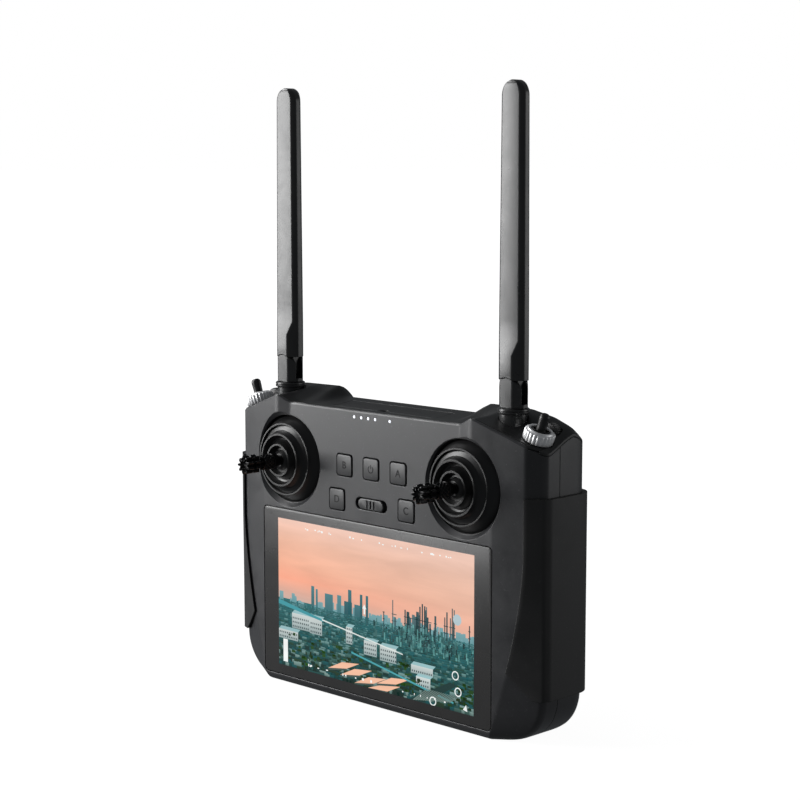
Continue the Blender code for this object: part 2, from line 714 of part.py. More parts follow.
def toggle(side, word):
    place = toggle_place(side)
    pivot = place @ Vector((0, 0, TOGGLE_PIVOT))
    body = turned(((0, -9), (TOGGLE_BUSH, -9), (TOGGLE_BUSH, 5.6), (0, 5.6)), 20, place)
    body = cut(body, turned(((0, -0.9), (3.2, -0.9), (3.2, 7), (0, 7)), 20, place))
    finish(body, f"toggle_body_{word}", "boot_rubber")
    nut = ((TOGGLE_BUSH + GAP, GAP), (6.1, GAP), (6.5, 0.8), (6.5, 4.9), (6.0, 5.4), (TOGGLE_BUSH + GAP, 5.4))
    finish(turned(nut, 20, place), f"toggle_nut_{word}", "chrome")
    lever = ((0, -0.3), (1.6, 0.0), (2.6, 1.4), (2.8, 2.6), (2.6, 4.2), (2.1, 5.6), (2.2, 10.6),
             (1.7, 11.9), (0, 12.4))
    finish(turned(lever, 14, place), f"toggle_lever_{word}", "boot_rubber", pivot)


def dial(side, word):
    x, y, z = mirrored(DIAL_AT, side)
    half = DIAL_WIDTH / 2
    place = Matrix.Translation((x, y, z)) @ Matrix.Rotation(math.radians(-90), 4, "X")
    wheel = ((1.2, -half), (DIAL_RADIUS - 0.4, -half), (DIAL_RADIUS, -half + 0.4), (DIAL_RADIUS, half - 0.4),
             (DIAL_RADIUS - 0.4, half), (1.2, half))
    finish(turned(wheel, 24, place), f"dial_wheel_{word}", "boot_rubber", (x, y, z))
    body = box((x - 3.2, y + half + 0.5, z - 8), (x + 3.2, y + half + 4.0, z + 0.9))
    body = join(body, rod((x, y - half, z), (x, y + half + 1, z), 0.9, 12))
    finish(body, f"dial_encoder_{word}", "inner_plastic")


# ---------------------------------------------------------------- antennas

def blade_ring(z, half_x, corner, front, back, squeeze=1.0):
    """Eight-sided section. The cut corners lie on |x| + |y| = corner."""
    flat = corner - half_x
    ring = [(corner - front, -front), (half_x, -flat), (half_x, flat), (corner - back, back),
            (back - corner, back), (-half_x, flat), (-half_x, -flat), (front - corner, -front)]
    return [(x * squeeze, y, z) for x, y in ring]


def moved(rings, x, y):
    return [[(px + x, py + y, pz) for px, py, pz in ring] for ring in rings]


def antenna(side, word):
    """Collar in the deck, a base that turns on it, a hinge pin and the folding blade."""
    x, y = side * ANTENNA_X, ANTENNA_Y
    collar = ((4.3, 127), (COLLAR_NECK, 127), (COLLAR_NECK, COLLAR_TOP - 2.3), (COLLAR_FLANGE, COLLAR_TOP - 2.1),
              (COLLAR_FLANGE, COLLAR_TOP - 0.5), (6.4, COLLAR_TOP), (4.3, COLLAR_TOP))
    finish(turned(collar, 24, Matrix.Translation((x, y, 0))), f"antenna_collar_{word}", "antenna_plastic")

    hinge = (x, y, FOLD_Z)
    rings = [blade_ring(z, KNUCKLE_RADIUS, 8.15, 4.85, 4.85) for z in (COLLAR_TOP + GAP, FOLD_Z + 8)]
    base = lofted(moved(rings, x, y))
    side_form = join(rod((x, y - 8, FOLD_Z), (x, y + 8, FOLD_Z), KNUCKLE_RADIUS, 32),
                     box((x - 8, y - 8, 130), (x + 8, y + 8, FOLD_Z)))
    base = common(base, side_form)
    base = cut(base, box((x - 9, y - 2, FOLD_Z - 4.1), (x + 9, y + 2, FOLD_Z + 12)))
    base = join(base, rod((x, y, 127.5), (x, y, COLLAR_TOP + 1), 4.0, 16))
    base = cut(base, rod((x, y - 8, FOLD_Z), (x, y + 8, FOLD_Z), 1.4 + GAP, 16))
    finish(base, f"antenna_base_{word}", "antenna_plastic", (x, y, COLLAR_TOP))

    pin = rod((x, y - 4.7, FOLD_Z), (x, y + 4.7, FOLD_Z), 1.4, 16)
    finish(pin, f"antenna_pin_{word}", "steel", hinge)

    rings = [blade_ring(z, 6.9, 8.45, 5.15, 5.15) for z in (SHOULDER_Z, BEVEL_LOW)]
    rings.append(blade_ring(BEVEL_HIGH, 6.9, 8.45, 3.25, 5.15))
    tip_start = TIP_Z - TIP_RADIUS
    for step in range(6):
        lift = math.radians(84) * step / 5
        height = tip_start + TIP_RADIUS * math.sin(lift)
        squeeze = math.cos(lift)
        rings.append(blade_ring(height, TIP_RADIUS, 7.65, 3.0, 4.4, max(squeeze, 0.12)))
    blade = lofted(moved(rings, x, y))
    blade = join(blade, box((x - 3.8, y - 1.7, FOLD_Z), (x + 3.8, y + 1.7, SHOULDER_Z + 2)))
    blade = join(blade, rod((x, y - 1.7, FOLD_Z), (x, y + 1.7, FOLD_Z), 3.8, 24))
    blade = cut(blade, rod((x, y - 8, FOLD_Z), (x, y + 8, FOLD_Z), 1.4 + GAP, 16))
    finish(blade, f"antenna_blade_{word}", "antenna_plastic", hinge)


def build():
    clear_scene()
    make_materials()
    front, rear = case_shells()
    front_shell(front)
    rear_shell(rear)
    top_cover()
    port_flap()
    screen()
    boards()
    fan()
    speaker()
    charge_port()
    for name, place in BUTTON_PLACES.items():
        push_button(name, place)
    mode_slider()
    light_guide()
    for side, word in ((-1, "left"), (1, "right")):
        grip(side, f"grip_{word}")
        gimbal(side, word)
        toggle(side, word)
        dial(side, word)
        antenna(side, word)


build()
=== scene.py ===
# %% [markdown]
# # A handheld radio controller
# The object is a slab of moulded plastic with a screen, two sticks in rubber boots, five
# keys, a slide switch, two toggle switches and two folding antennas.
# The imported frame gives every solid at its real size. This script dresses that frame: it
# rebuilds the visible pieces with finer shapes and gives every piece its material.

# %% Load the frame
import json
import math
import random

import bmesh
import bpy
from mathutils import Matrix, Vector


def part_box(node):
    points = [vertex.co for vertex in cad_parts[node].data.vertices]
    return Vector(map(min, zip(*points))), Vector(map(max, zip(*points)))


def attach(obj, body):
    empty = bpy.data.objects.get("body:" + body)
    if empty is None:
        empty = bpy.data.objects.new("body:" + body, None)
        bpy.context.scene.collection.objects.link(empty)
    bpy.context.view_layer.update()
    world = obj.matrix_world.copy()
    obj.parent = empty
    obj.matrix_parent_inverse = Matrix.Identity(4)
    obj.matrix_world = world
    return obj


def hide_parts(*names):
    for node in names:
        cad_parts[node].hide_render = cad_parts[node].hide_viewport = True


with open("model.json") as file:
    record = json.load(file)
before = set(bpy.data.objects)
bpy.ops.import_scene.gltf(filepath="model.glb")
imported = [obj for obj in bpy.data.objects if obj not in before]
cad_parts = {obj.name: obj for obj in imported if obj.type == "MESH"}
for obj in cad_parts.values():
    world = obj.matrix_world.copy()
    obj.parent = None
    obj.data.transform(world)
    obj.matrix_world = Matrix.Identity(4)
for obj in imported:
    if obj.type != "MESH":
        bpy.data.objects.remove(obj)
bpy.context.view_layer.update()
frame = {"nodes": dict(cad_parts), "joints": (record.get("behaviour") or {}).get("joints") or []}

MM = 0.001
JOINTS = {joint["name"]: joint for joint in frame["joints"]}
SIDES = ((-1, "left"), (1, "right"))


def low(node):
    """Lowest corner of a solid in millimetres."""
    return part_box(node)[0] / MM


def high(node):
    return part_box(node)[1] / MM


def centre(node):
    return (low(node) + high(node)) / 2


def joint_at(name):
    return Vector(JOINTS[name]["pos_m"]) / MM


# %% [markdown]
# ## Shader groups
# Moulded plastic is never one flat colour: the tool leaves a fine grain, and hands and dust
# change its gloss in soft patches. Both effects are used by many materials here, so each is
# a node group with its own sizes, built once and placed in every material that needs it.

# %% Shader helpers


def add(tree, kind, inputs=None, **settings):
    """Place a node. Inputs are given by name or number, as values or as sockets to link."""
    item = tree.nodes.new(kind)
    for name, value in settings.items():
        setattr(item, name, value)
    for name, value in (inputs or {}).items():
        if isinstance(value, bpy.types.NodeSocket):
            tree.links.new(value, item.inputs[name])
        else:
            item.inputs[name].default_value = value
    return item


def new_group(name, inputs, outputs):
    group = bpy.data.node_groups.new(name, "ShaderNodeTree")
    for label, kind, default in inputs:
        socket = group.interface.new_socket(label, in_out="INPUT", socket_type=kind)
        if default is not None:
            socket.default_value = default
    for label, kind in outputs:
        group.interface.new_socket(label, in_out="OUTPUT", socket_type=kind)
    return group, group.nodes.new("NodeGroupInput"), group.nodes.new("NodeGroupOutput")


def mix_colours(tree, share, first, second, **settings):
    """Blend two colours, given as values or sockets, and hand back the colour's socket."""
    inputs = {0: share, 6: first, 7: second}
    return add(tree, "ShaderNodeMix", inputs, data_type="RGBA", **settings).outputs[2]


def spread_range(tree, value, smallest, largest):
    """Stretch a value that runs from 0 to 1 to a range of its own."""
    inputs = {"Value": value, "To Min": smallest, "To Max": largest}
    return add(tree, "ShaderNodeMapRange", inputs).outputs[0]


def build_grain():
    """Spark-eroded grain: small cells broken up by noise, as a height from 0 to 1."""
    group, start, end = new_group(
        "moulded_grain",
        [("Vector", "NodeSocketVector", None), ("Grain Scale", "NodeSocketFloat", 2600.0)],
        [("Height", "NodeSocketFloat")])
    noise = add(group, "ShaderNodeTexNoise", {"Vector": start.outputs["Vector"],
                                              "Scale": start.outputs["Grain Scale"],
                                              "Detail": 2.0, "Roughness": 0.6})
    cells = add(group, "ShaderNodeTexVoronoi", {"Vector": start.outputs["Vector"],
                                                "Scale": start.outputs["Grain Scale"]})
    both = add(group, "ShaderNodeMath", {0: noise.outputs[0], 1: cells.outputs["Distance"]},
               operation="ADD")
    half = add(group, "ShaderNodeMath", {0: both.outputs[0], 1: 0.5}, operation="MULTIPLY")
    group.links.new(half.outputs[0], end.inputs["Height"])
    return group


def build_handling():
    """Soft patches where dust or a finger changed the gloss, from 0 to 1."""
    group, start, end = new_group(
        "handling_patches",
        [("Vector", "NodeSocketVector", None), ("Patch Scale", "NodeSocketFloat", 60.0)],
        [("Patches", "NodeSocketFloat"), ("Specks", "NodeSocketFloat")])
    patches = add(group, "ShaderNodeTexNoise",
                  {"Vector": start.outputs["Vector"], "Scale": start.outputs["Patch Scale"],
                                                "Detail": 5.0, "Roughness": 0.62, "Distortion": 0.4})
    wide = add(group, "ShaderNodeMapRange", {"Value": patches.outputs[0], "From Min": 0.3, "From Max": 0.7})
    dust = add(group, "ShaderNodeTexNoise", {"Vector": start.outputs["Vector"], "Scale": 900.0,
                                             "Detail": 1.0})
    specks = add(group, "ShaderNodeMapRange", {"Value": dust.outputs[0], "From Min": 0.68, "From Max": 0.8})
    group.links.new(wide.outputs[0], end.inputs["Patches"])
    group.links.new(specks.outputs[0], end.inputs["Specks"])
    return group


GRAIN = build_grain()
HANDLING = build_handling()
print("shader groups", GRAIN.name, HANDLING.name)

# %% [markdown]
# ## Materials
# One function makes every moulded finish. It blends two near shades over the patches, moves
# the roughness with them, and feeds the grain to a bump. A bevel node rounds the edges that
# the light catches. Metal and screen glass have their own functions.

# %% Material functions


def start_material(name, colour, roughness, metallic=0.0):
    material = bpy.data.materials.new(name)
    material.use_nodes = True
    tree = material.node_tree
    shader = tree.nodes["Principled BSDF"]
    shader.inputs["Base Color"].default_value = (*colour, 1)
    shader.inputs["Roughness"].default_value = roughness
    shader.inputs["Metallic"].default_value = metallic
    place = add(tree, "ShaderNodeTexCoord")
    return material, tree, shader, place.outputs["Object"]


def add_relief(tree, shader, height, strength, depth, edge):
    """Bump of a depth in millimetres over edges that a bevel node rounds to a radius."""
    soft_edge = add(tree, "ShaderNodeBevel", {"Radius": edge * MM}, samples=4)
    bump = add(tree, "ShaderNodeBump", {"Strength": strength, "Distance": depth * MM, "Height": height,
                                        "Normal": soft_edge.outputs[0]})
    tree.links.new(bump.outputs[0], shader.inputs["Normal"])


SPREAD = 0.06
VARIATION = 0.12


def moulded(name, colour, roughness, grain=2600.0, depth=0.018, edge=0.25, specular=0.5, metallic=0.0):
    """Plastic, rubber or paint with grain, gloss patches and soft edges."""
    material, tree, shader, place = start_material(name, colour, roughness, metallic)
    shader.inputs["Specular IOR Level"].default_value = specular
    grains = add(tree, "ShaderNodeGroup", node_tree=GRAIN)
    grains.inputs["Grain Scale"].default_value = grain
    tree.links.new(place, grains.inputs["Vector"])
    patches = add(tree, "ShaderNodeGroup", node_tree=HANDLING)
    tree.links.new(place, patches.inputs["Vector"])
    light = tuple(min(c * (1 + VARIATION) + 0.002, 1) for c in colour)
    dark = tuple(c * (1 - VARIATION) for c in colour)
    dust = tuple(c * 1.5 + 0.01 for c in colour)
    shade = mix_colours(tree, patches.outputs["Patches"], (*dark, 1), (*light, 1))
    speckled = mix_colours(tree, patches.outputs["Specks"], shade, (*dust, 1))
    tree.links.new(speckled, shader.inputs["Base Color"])
    rough = spread_range(tree, patches.outputs["Patches"], roughness - SPREAD, roughness + SPREAD)
    tree.links.new(rough, shader.inputs["Roughness"])
    add_relief(tree, shader, grains.outputs["Height"], 0.6, depth, edge)
    return material


def plated(name, colour, roughness, metal=1.0):
    """Metal with fine turning marks and a little tarnish."""
    material, tree, shader, place = start_material(name, colour, roughness, metal)
    marks = add(tree, "ShaderNodeTexNoise", {"Vector": place, "Scale": 1800.0, "Detail": 3.0})
    tarnish = add(tree, "ShaderNodeTexNoise", {"Vector": place, "Scale": 140.0, "Detail": 4.0})
    dull = tuple(c * 0.85 for c in colour)
    shade = mix_colours(tree, tarnish.outputs[0], (*colour, 1), (*dull, 1))
    tree.links.new(shade, shader.inputs["Base Color"])
    rough = spread_range(tree, marks.outputs[0], roughness * 0.7, roughness * 1.5)
    tree.links.new(rough, shader.inputs["Roughness"])
    add_relief(tree, shader, marks.outputs[0], 0.3, 0.006, 0.12)
    return material


def glossy_glass(name):
    """Black-backed cover glass: very smooth, with faint smears that only the gloss shows."""
    material, tree, shader, place = start_material(name, (0.012, 0.012, 0.013), 0.12)
    smear = {"Vector": place, "Scale": 35.0, "Detail": 6.0, "Distortion": 1.2}
    smears = add(tree, "ShaderNodeTexNoise", smear)
    tree.links.new(spread_range(tree, smears.outputs[0], 0.2, 0.34), shader.inputs["Roughness"])
    tint = mix_colours(tree, smears.outputs[0], (0.03, 0.03, 0.03, 1), (0.036, 0.035, 0.035, 1))
    tree.links.new(tint, shader.inputs["Base Color"])
    return material


def painted_light(name, strength):
    """A lit screen picture. The colours come from the mesh's own Paint attribute, and stretched
    noise gives the sky its thin streaks of cloud."""
    material, tree, shader, place = start_material(name, (0.0, 0.0, 0.0), 0.35)
    paint = add(tree, "ShaderNodeAttribute", attribute_name="Paint")
    stretched = add(tree, "ShaderNodeMapping",
                    {"Vector": place, "Rotation": (0, 0.12, 0), "Scale": (14, 1, 90)})
    cloud = add(tree, "ShaderNodeTexNoise", {"Vector": stretched.outputs[0], "Scale": 1.6, "Detail": 5.0,
                                             "Distortion": 0.5})
    veil = add(tree, "ShaderNodeMapRange", {"Value": cloud.outputs[0], "From Min": 0.3, "From Max": 0.7,
                                            "To Min": 0.9, "To Max": 1.06})
    lit = mix_colours(tree, 1.0, paint.outputs["Color"], veil.outputs[0], blend_type="MULTIPLY")
    tree.links.new(lit, shader.inputs["Emission Color"])
    shader.inputs["Emission Strength"].default_value = strength
    shader.inputs["Specular IOR Level"].default_value = 0.2
    return material


def glowing(name, colour, strength):
    """Small diffused light whose brightness dips a little in soft random patches."""
    material, tree, shader, place = start_material(name, colour, 0.3)
    noise = add(tree, "ShaderNodeTexNoise", {"Vector": place, "Scale": 800.0})
    dimmer = tuple(c * 0.85 for c in colour)
    glow = mix_colours(tree, noise.outputs[0], (*colour, 1), (*dimmer, 1))
    tree.links.new(glow, shader.inputs["Emission Color"])
    shader.inputs["Emission Strength"].default_value = strength
    return material


def laminate(name, colour, line_colour):
    """Circuit board: solder mask over a net of copper tracks."""
    material, tree, shader, place = start_material(name, colour, 0.45)
    tracks = add(tree, "ShaderNodeTexBrick", {"Vector": place, "Scale": 180.0, "Color1": (*colour, 1),
                                              "Color2": (*(c * 0.8 for c in colour), 1),
                                              "Mortar": (*line_colour, 1), "Mortar Size": 0.03})
    tree.links.new(tracks.outputs["Color"], shader.inputs["Base Color"])
    bump = add(tree, "ShaderNodeBump", {"Strength": 0.4, "Distance": 0.02 * MM,
                                        "Height": tracks.outputs["Fac"]})
    tree.links.new(bump.outputs[0], shader.inputs["Normal"])
    return material


# %% Make the materials
CASE = moulded("case_plastic", (0.03, 0.0305, 0.033), 0.38, grain=3200.0, depth=0.012, edge=0.3)
DECK = moulded("deck_plastic", (0.014, 0.0143, 0.0146), 0.42, grain=3200.0, depth=0.012, edge=0.3)
GRIP = moulded("grip_rubber", (0.02, 0.02, 0.0203), 0.5, grain=1500.0, depth=0.03, edge=0.4, specular=0.4)
BOOT = moulded("boot_rubber", (0.005, 0.005, 0.0052), 0.36, grain=2200.0, depth=0.004, edge=0.15)
BUTTON = moulded("button_plastic", (0.028, 0.0285, 0.03), 0.38, grain=3600.0, depth=0.008, edge=0.12)
LEGEND = moulded("legend_paint", (0.003, 0.003, 0.0031), 0.6, grain=3600.0, depth=0.006, edge=0.08,
                 specular=0.2)
ANODISED = moulded("black_metal", (0.012, 0.012, 0.0125), 0.3, grain=4000.0, depth=0.006, edge=0.08,
                   metallic=0.6)
ANTENNA_PLASTIC = moulded("antenna_plastic", (0.02, 0.0205, 0.021), 0.3, grain=3000.0, depth=0.006,
                          edge=0.3)
SOCKET = moulded("inner_plastic", (0.03, 0.03, 0.031), 0.6)
WRAP = moulded("battery_wrap", (0.03, 0.06, 0.17), 0.35, grain=600.0, depth=0.05)
CHROME = plated("chrome", (0.96, 0.96, 0.97), 0.36, 0.55)
STEEL = plated("steel", (0.48, 0.48, 0.49), 0.28)
GLASS = glossy_glass("screen_glass")
PICTURE = painted_light("screen_picture", 1.0)
LAMP = glowing("light_guide", (0.9, 0.93, 1.0), 1.0)
BOARD = laminate("circuit_board", (0.012, 0.075, 0.03), (0.12, 0.2, 0.06))

print("materials", len(bpy.data.materials))

# %% [markdown]
# ## Mesh helpers
# Most pieces are one of three forms: a loft through a stack of rings, a profile turned round
# an axis, or a block with rounded corners and a rolled front edge. Each form has one
# function. Meshes are written in millimetres and turned to metres as they are made.

# %% Mesh helpers
WELD = 0.002


def stand(name, data=None):
    """Add an object with this data to the scene, at the origin."""
    item = bpy.data.objects.new(name, data)
    bpy.context.scene.collection.objects.link(item)
    return item


def to_object(bm):
    """Turn a mesh in the making from millimetres to metres and give it an object."""
    bmesh.ops.recalc_face_normals(bm, faces=bm.faces)
    bmesh.ops.scale(bm, vec=(MM, MM, MM), verts=bm.verts)
    mesh = bpy.data.meshes.new("shape")
    bm.to_mesh(mesh)
    bm.free()
    return stand("shape", mesh)


def loft(rings):
    """Skin a stack of closed rings that have the same number of points, and cap its ends."""
    bm = bmesh.new()
    loops = [[bm.verts.new(point) for point in ring] for ring in rings]
    count = len(loops[0])
    for first, second in zip(loops, loops[1:]):
        for i in range(count):
            j = (i + 1) % count
            bm.faces.new((first[i], first[j], second[j], second[i]))
    bm.faces.new(loops[0])
    bm.faces.new(loops[-1])
    return to_object(bm)


def prism(outline, start, end):
    """Extrude an (x, z) outline along Y."""
    return loft([[(x, y, z) for x, z in outline] for y in (start, end)])


def block(first, second):
    outline = ((first[0], first[2]), (second[0], first[2]), (second[0], second[2]), (first[0], second[2]))
    return prism(outline, first[1], second[1])


CORNER_STEPS = 8


def rounded(width, height, radius, middle=(0.0, 0.0)):
    """Outline of a rectangle with round corners."""
    outline = []
    radius = max(radius, 0.01)
    for quarter, (sx, sy) in enumerate(((1, 1), (-1, 1), (-1, -1), (1, -1))):
        cx = middle[0] + sx * (width / 2 - radius)
        cy = middle[1] + sy * (height / 2 - radius)
        for step in range(CORNER_STEPS + 1):
            angle = math.radians(90) * (quarter + step / CORNER_STEPS)
            outline.append((cx + radius * math.cos(angle), cy + radius * math.sin(angle)))
    return outline


def rolled_block(width, height, radius, middle, front, back, roll):
    """Rounded block along Y whose front edge is rolled over by a quarter circle."""
    rings = []
    for y in (back, (front + roll + back) / 2):
        rings.append([(x, y, z) for x, z in rounded(width, height, radius, middle)])
    for step in range(5):
        turn = math.radians(90) * step / 4
        inset = roll * (1 - math.cos(turn))
        y = front + roll * (1 - math.sin(turn))
        outline = rounded(width - 2 * inset, height - 2 * inset, radius - inset, middle)
        rings.append([(x, y, z) for x, z in outline])
    return loft(rings)


def flared_cutter(width, height, radius, middle, surface, depth, flare):
    """Opening cutter with a small chamfer where it leaves the surface."""
    rings = []
    for y, grow in ((surface + depth, 0.0), (surface + flare, 0.0), (surface - 0.6, flare + 0.6)):
        outline = rounded(width + 2 * grow, height + 2 * grow, radius + grow, middle)
        rings.append([(x, y, z) for x, z in outline])
    return loft(rings)


def turn_profile(profile, steps, place):
    """Spin (radius, height) points about the Z axis of place. Radius 0 ends on the axis."""
    bm = bmesh.new()
    columns = []
    for radius, height in profile:
        if radius == 0:
            columns.append([bm.verts.new((0, 0, height))] * steps)
            continue
        ring = []
        for i in range(steps):
            angle = 2 * math.pi * i / steps
            ring.append(bm.verts.new((radius * math.cos(angle), radius * math.sin(angle), height)))
        columns.append(ring)
    pairs = list(zip(columns, columns[1:]))
    if profile[0][0] > 0:
        pairs.append((columns[-1], columns[0]))
    for first, second in pairs:
        for i in range(steps):
            j = (i + 1) % steps
            corners = []
            for vert in (first[i], first[j], second[j], second[i]):
                if vert not in corners:
                    corners.append(vert)
            bm.faces.new(corners)
    bmesh.ops.transform(bm, matrix=place, verts=bm.verts)
    return to_object(bm)


def smooth_profile(points, steps):
    """Catmull-Rom curve through a profile's points."""
    last = len(points) - 1
    result = []
    for i in range(last):
        around = [points[min(max(i + k, 0), last)] for k in (-1, 0, 1, 2)]
        for step in range(steps):
            t = step / steps
            weights = (-0.5 * t + t * t - 0.5 * t ** 3, 1 - 2.5 * t * t + 1.5 * t ** 3,
                       0.5 * t + 2 * t * t - 1.5 * t ** 3, 0.5 * (t ** 3 - t * t))
            result.append(tuple(sum(w * p[axis] for w, p in zip(weights, around)) for axis in (0, 1)))
    return result + [points[-1]]


def bar(start, end, radius, steps):
    """Round bar between two points."""
    start = Vector(start)
    along = Vector(end) - start
    place = Matrix.Translation(start) @ along.to_track_quat("Z", "Y").to_matrix().to_4x4()
    return turn_profile(((0, 0), (radius, 0), (radius, along.length), (0, along.length)), steps, place)


def bar_up(at, start, end, radius, steps):
    """Round bar along Z through a point, between two heights."""
    return bar((at.x, at.y, start), (at.x, at.y, end), radius, steps)


def bar_back(x, z, start, end, radius, steps):
    """Round bar along Y, between two depths."""
    return bar((x, start, z), (x, end, z), radius, steps)


def combine(base, tool, operation):
    """Apply one Boolean, remove the tool and clean what it left."""
    modifier = base.modifiers.new("combine", "BOOLEAN")
    modifier.operation = operation
    modifier.object = tool
    graph = bpy.context.evaluated_depsgraph_get()
    mesh = bpy.data.meshes.new_from_object(base.evaluated_get(graph))
    base.modifiers.clear()
    base.data = mesh
    bpy.data.objects.remove(tool, do_unlink=True)
    bm = bmesh.new()
    bm.from_mesh(mesh)
    bmesh.ops.remove_doubles(bm, verts=bm.verts, dist=WELD * MM)
    bmesh.ops.dissolve_degenerate(bm, edges=bm.edges, dist=WELD * MM)
    bm.to_mesh(mesh)
    bm.free()
    return base


def cut(base, tool):
    return combine(base, tool, "DIFFERENCE")


def common(base, tool):
    return combine(base, tool, "INTERSECT")


def join(base, tool):
    return combine(base, tool, "UNION")


def dress(item, name, material, body="case", stands_for=(), sharp=30):
    """Finish a piece: name, material, shading, the body it rides on and what it replaces."""
    item.name = name
    item.data.name = name
    item.data.materials.clear()
    item.data.materials.append(material)
    item.data.shade_smooth()
    item.data.set_sharp_from_angle(angle=math.radians(sharp))
    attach(item, body)
    if stands_for:
        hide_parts(*stands_for)
    print(name, len(item.data.polygons), "faces")
    return item


# %% [markdown]
# ## The case outline
# The case is a stack of horizontal outlines. Going round one of them from the middle of the
# front: a flat, a ramp up to a ridge beside each stick, a wing that falls back, a crease, a
# facet, the side wall and a round rear corner. The bottom corners are arcs of a circle seen
# from the front, and the crease sweeps inwards as it goes down. One function gives the
# outline at any height, so the same rule makes the shells, their hollow and the grips.

# %% Case outline
FRONT = low("screen_glass").y - 0.05
BACK = high("rear_shell").y
HALF_WIDTH = high("front_shell").x
WALL = 2.4
LIP = 1.2
GAP = 0.3
CORNER_RADIUS = 19.0
FRONT_EDGE_RADIUS = 4.0
BACK_EDGE_RADIUS = 6.0
BACK_CORNER_RADIUS = 9.0
RAMP_START = 52.0
RIDGE = 59.4
WING_START = 70.2
WING_SLOPE = 0.153
SHOULDER = (98.0, 112.0)
CREASE_TOP = 86.0
CREASE_SWEEP = 17.5
CREASE_END = 78.4
FACET_DEPTH = 7.5
CASE_TOP = 150.0


def soften(points, turns, steps=5):
    """Replace chosen corners of a polyline with small curves. turns gives each one's reach."""
    result = []
    for i, point in enumerate(points):
        if i not in turns:
            result.append(point)
            continue
        before, here, after = (Vector(points[i - 1]), Vector(point), Vector(points[i + 1]))
        reach = min(turns[i], 0.48 * (here - before).length, 0.48 * (after - here).length)
        start = here + (before - here).normalized() * reach
        end = here + (after - here).normalized() * reach
        for step in range(steps + 1):
            t = step / steps
            spot = start * (1 - t) ** 2 + here * 2 * t * (1 - t) + end * t * t
            result.append(tuple(spot))
    return result


def edge_rise(z, inset, radius):
    """How far the round bottom edge pulls a wall in at this height."""
    if z >= radius:
        return inset
    return radius - math.sqrt(max((radius - inset) ** 2 - (radius - z) ** 2, 0))


def crease(z):
    """Where the crease beside the screen lies at this height."""
    below = max(CREASE_END - z, 0) / CREASE_END
    return CREASE_TOP - CREASE_SWEEP * below ** 1.6


def half_width(z, inset):
    """Half the case's width at this height, with its round bottom corners."""
    if z >= CORNER_RADIUS:
        return HALF_WIDTH - inset
    reach = (CORNER_RADIUS - inset) ** 2 - (CORNER_RADIUS - z) ** 2
    return HALF_WIDTH - CORNER_RADIUS + math.sqrt(max(reach, 0))


def case_section(z, inset, crease_inset):
    """Right half of the outline at one height, from the middle of the front to that of the back."""
    side = half_width(z, inset)
    front = FRONT + edge_rise(z, inset, FRONT_EDGE_RADIUS)
    back = BACK - edge_rise(z, inset, BACK_EDGE_RADIUS)
    raised = min(max((z - SHOULDER[0]) / (SHOULDER[1] - SHOULDER[0]), 0), 1)
    ridge = WING_SLOPE * (RIDGE - WING_START) * raised
    crease_x = crease(z) - 0.4 * inset
    crease_y = WING_SLOPE * max(crease_x - WING_START, 0) + crease_inset - inset
    points = [
        (0, front),
        (RAMP_START, front),
        (RIDGE, front + 1.06 * ridge),
        (min(WING_START, crease_x - 0.6), front),
        (crease_x, front + crease_y),
        (side - 1.2, FRONT + FACET_DEPTH + 0.4 * inset),
        (side, FRONT + FACET_DEPTH + 2.2),
    ]
    points = soften(points + [(side, back)], {1: 0.9, 2: 1.6, 3: 0.8, 4: 1.0, 5: 1.2, 6: 1.0})[:-1]
    radius = BACK_CORNER_RADIUS - inset
    for step in range(10):
        angle = math.radians(10 * step)
        points.append((side - radius + radius * math.cos(angle), back - radius + radius * math.sin(angle)))
    points.append((0, back))
    return points


def case_form(inset, crease_inset=None):
    """The whole closed form, moved inwards by inset."""
    if crease_inset is None:
        crease_inset = inset
    heights = [CORNER_RADIUS * (1 - math.cos(math.radians(5 * i))) for i in range(19)]
    heights += [0.8, 1.6, 2.4, 3.2, FRONT_EDGE_RADIUS, 5.0, 6.0]
    heights += [CORNER_RADIUS + 5 + 5 * i for i in range(19)]
    heights = [inset] + [z for z in sorted(heights) if z > inset + 0.25] + [CASE_TOP]
    rings = []
    for z in heights:
        half = case_section(z, inset, crease_inset)
        other = [(-x, y) for x, y in reversed(half[1:-1])]
        rings.append([(x, y, z) for x, y in half + other])
    return loft(rings)


# %% [markdown]
# ## The deck
# The top runs from a front line to a rear line. It stays low round the antennas, then rises
# to the rear line and rolls down behind it. Small wedges cut the chamfer along its front.

# %% Deck surface
DECK_FRONT_Y = FRONT - 2.0
DECK_REAR_Y = 8.0
DECK_FRONT = ((0, 130.8), (RAMP_START, 130.8), (RIDGE, 134.4), (88.5, 123.8), (92.5, 120.2), (110, 100))
DECK_REAR = ((0, 132.4), (42, 132.4), (46, 136.9), (69, 136.6), (80, 134.5), (88.5, 131.4), (92.5, 128.0),
             (110, 108))
DECK_STEPS = 19
CURVE_REACH = 0.11
ROLL_BACK = (0, 1.5, 3, 4.5, 6, 7.5, 9, 10.5, 12, 14, 17, 22)
ROLL_DROP = 0.076
DECK_CURVE = ((0.0, 0.0), (0.42, 0.1), (0.62, 0.4), (0.85, 0.85), (1.0, 1.0))
COVER_THICKNESS = 2.5
SIDE_BAND = (FRONT + 3.2, BACK - 4.0)
SIDE_DROP = 1.1


def along_line(points, x):
    for (x0, h0), (x1, h1) in zip(points, points[1:]):
        if x <= x1:
            return h0 + (h1 - h0) * (x - x0) / (x1 - x0)
    return points[-1][1]


def rolled_line(points, x, reach=1.3):
    """The same line with its corners rounded, by averaging over a short stretch."""
    spots = [abs(x + reach * k / 4) for k in range(-4, 5)]
    return sum(along_line(points, spot) for spot in spots) / len(spots)


